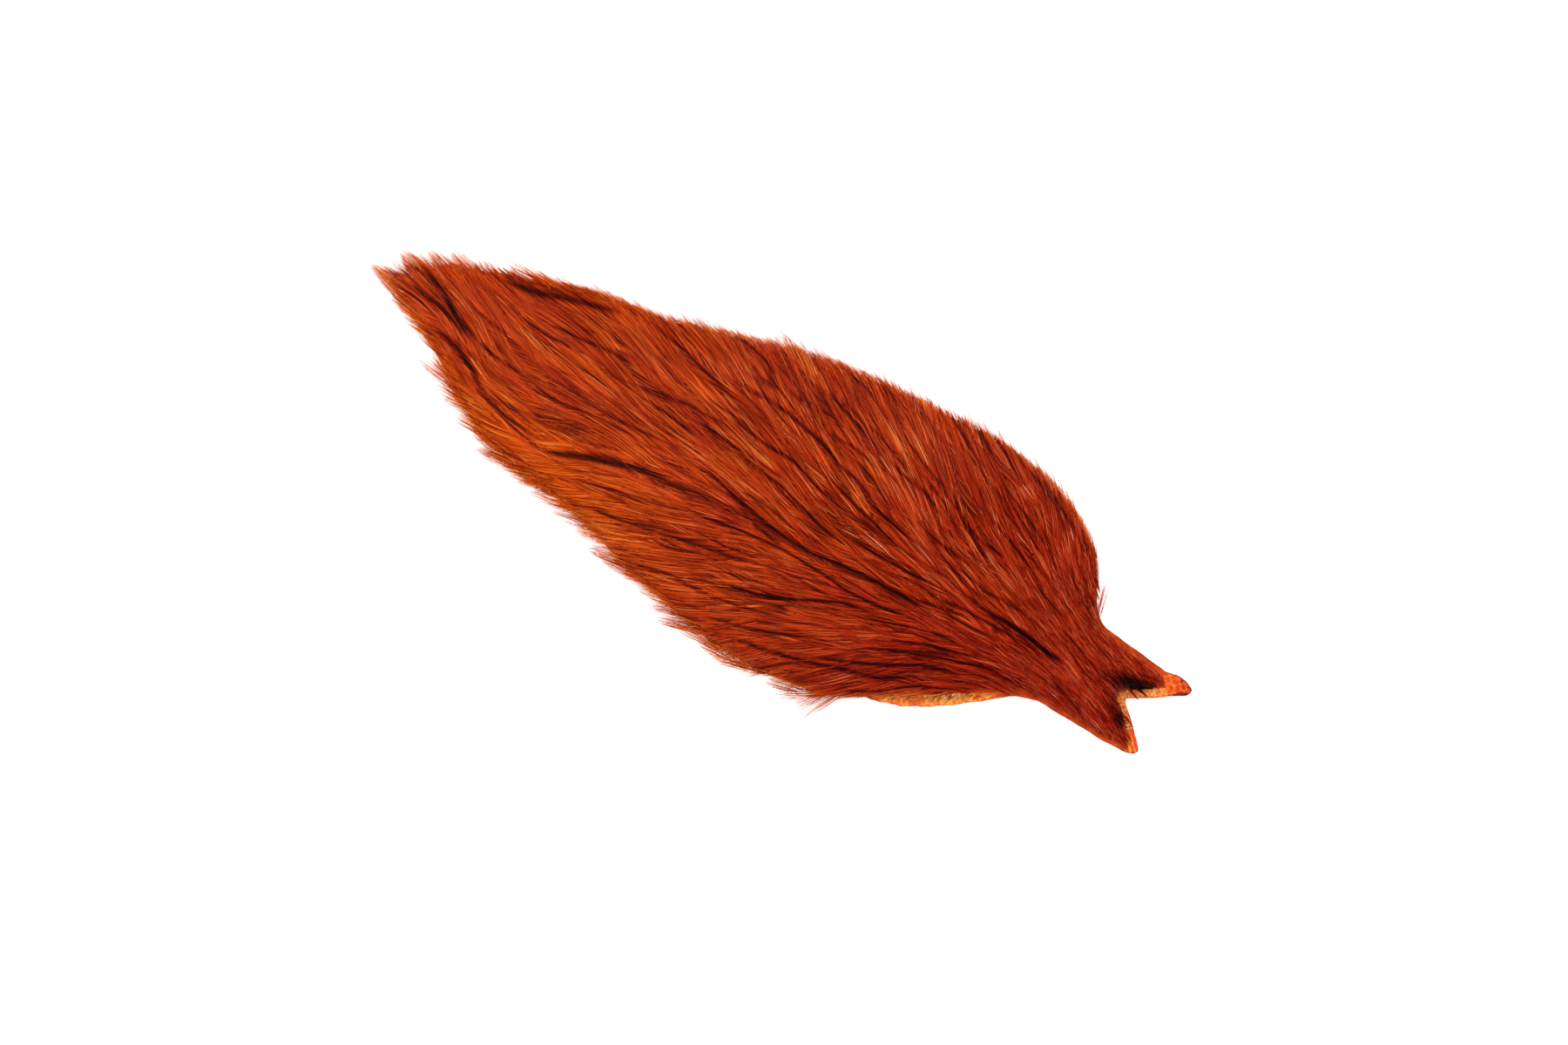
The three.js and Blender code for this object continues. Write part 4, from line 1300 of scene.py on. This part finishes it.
def skin_material():
    """Dried skin: a ramp over the stored tone, with a fine grain from a noise, and a clear gloss."""
    material = bpy.data.materials.new("dried_skin")
    material.use_nodes = True
    tree = material.node_tree
    shader = tree.nodes["Principled BSDF"]
    tone = tree.nodes.new("ShaderNodeAttribute")
    tone.attribute_name = "tone"
    place = tree.nodes.new("ShaderNodeTexCoord")
    grain = tree.nodes.new("ShaderNodeTexNoise")
    grain.inputs["Scale"].default_value = 900
    grain.inputs["Detail"].default_value = 3
    tree.links.new(place.outputs["Object"], grain.inputs["Vector"])
    centred = tree.nodes.new("ShaderNodeMath")
    centred.operation = "MULTIPLY_ADD"
    centred.inputs[1].default_value = 0.34
    centred.inputs[2].default_value = -0.17
    tree.links.new(grain.outputs["Fac"], centred.inputs[0])
    total = tree.nodes.new("ShaderNodeMath")
    tree.links.new(tone.outputs["Fac"], total.inputs[0])
    tree.links.new(centred.outputs["Value"], total.inputs[1])
    tree.links.new(ramp_node(tree, SKIN_RAMP, total.outputs["Value"]), shader.inputs["Base Color"])
    shader.inputs["Roughness"].default_value = 0.42
    shader.inputs["Specular IOR Level"].default_value = 0.2
    return material


skin.data.materials.append(skin_material())

# %% [markdown]
# The cape lies on white paper under soft light from above, with hardly any shadow. A dome of white light and
# a little glow in the paper keep it pale. The paper is seen from above only: its back is clear, so that a
# camera under the table sees the skin's underside.

# %% Floor
FLOOR_SIDE = 1.2
FLOOR_DROP = -0.05 * MM
FLOOR_CORNERS = [(-1, -1), (1, -1), (1, 1), (-1, 1)]
floor_mesh = bpy.data.meshes.new("floor")
corners = [(x * FLOOR_SIDE, y * FLOOR_SIDE, FLOOR_DROP) for x, y in FLOOR_CORNERS]
floor_mesh.from_pydata(corners, [], [(0, 1, 2, 3)])
floor = bpy.data.objects.new("floor", floor_mesh)
bpy.context.scene.collection.objects.link(floor)
paper = bpy.data.materials.new("white_paper")
paper.use_nodes = True
tree = paper.node_tree
matt = tree.nodes["Principled BSDF"]
matt.inputs["Base Color"].default_value = (0.9, 0.9, 0.9, 1)
matt.inputs["Roughness"].default_value = 0.9
matt.inputs["Emission Color"].default_value = (1, 1, 1, 1)
matt.inputs["Emission Strength"].default_value = 0.35
beneath = tree.nodes.new("ShaderNodeNewGeometry")
clear = tree.nodes.new("ShaderNodeBsdfTransparent")
either = tree.nodes.new("ShaderNodeMixShader")
tree.links.new(beneath.outputs["Backfacing"], either.inputs[0])
tree.links.new(matt.outputs["BSDF"], either.inputs[1])
tree.links.new(clear.outputs["BSDF"], either.inputs[2])
tree.links.new(either.outputs["Shader"], tree.nodes["Material Output"].inputs["Surface"])
floor_mesh.materials.append(paper)
print("floor", 2 * FLOOR_SIDE, "m wide")

# %% Light
world = bpy.data.worlds.new("studio")
world.use_nodes = True
dome = world.node_tree.nodes["Background"]
dome.inputs["Color"].default_value = (1, 1, 1, 1)
dome.inputs["Strength"].default_value = 0.75
bpy.context.scene.world = world


def softbox(name, place, size, power):
    """A square area light that points at the cape."""
    light = bpy.data.lights.new(name, "AREA")
    light.size = size
    light.energy = power
    holder = bpy.data.objects.new(name, light)
    holder.location = place
    holder.rotation_euler = (-Vector(place)).to_track_quat("-Z", "Y").to_euler()
    bpy.context.scene.collection.objects.link(holder)
    print(name, "light of", power, "W,", round(Vector(place).length, 2), "m away")


softbox("key", (-0.3, 0.6, 0.95), 0.5, 8)
softbox("fill", (-0.35, -0.7, 0.9), 0.8, 4)

# %% [markdown]
# The camera looks straight down on the cape, turned so that the head end points to the lower right. One
# pixel of the photograph is a known length on the table, so the camera's height follows from the width that
# the lens has to show. Its place follows from where the plan's origin is in the photograph.

# %% Camera
PIXEL = 0.22663
ORIGIN_IN_PHOTO = (886.2, 573.1)
PHOTO_SIZE = (1800, 1200)
PHOTO_TURN = math.radians(27.5)
LENS, SENSOR = 85, 36
right = Vector((math.cos(PHOTO_TURN), math.sin(PHOTO_TURN), 0))
up = Vector((-math.sin(PHOTO_TURN), math.cos(PHOTO_TURN), 0))
centre = right * (PHOTO_SIZE[0] / 2 - ORIGIN_IN_PHOTO[0]) - up * (PHOTO_SIZE[1] / 2 - ORIGIN_IN_PHOTO[1])
centre = centre * PIXEL + Vector(plan_shift)
distance = PHOTO_SIZE[0] * PIXEL * LENS / SENSOR
lens = bpy.data.cameras.new("camera")
lens.lens, lens.sensor_width, lens.sensor_fit = LENS, SENSOR, "HORIZONTAL"
camera = bpy.data.objects.new("camera", lens)
camera.location = Vector((centre.x, centre.y, distance)) * MM
camera.rotation_euler = (0, 0, PHOTO_TURN)
bpy.context.scene.collection.objects.link(camera)
bpy.context.scene.camera = camera
bpy.context.scene.view_settings.view_transform = "Standard"
print("camera", round(distance), "mm up")
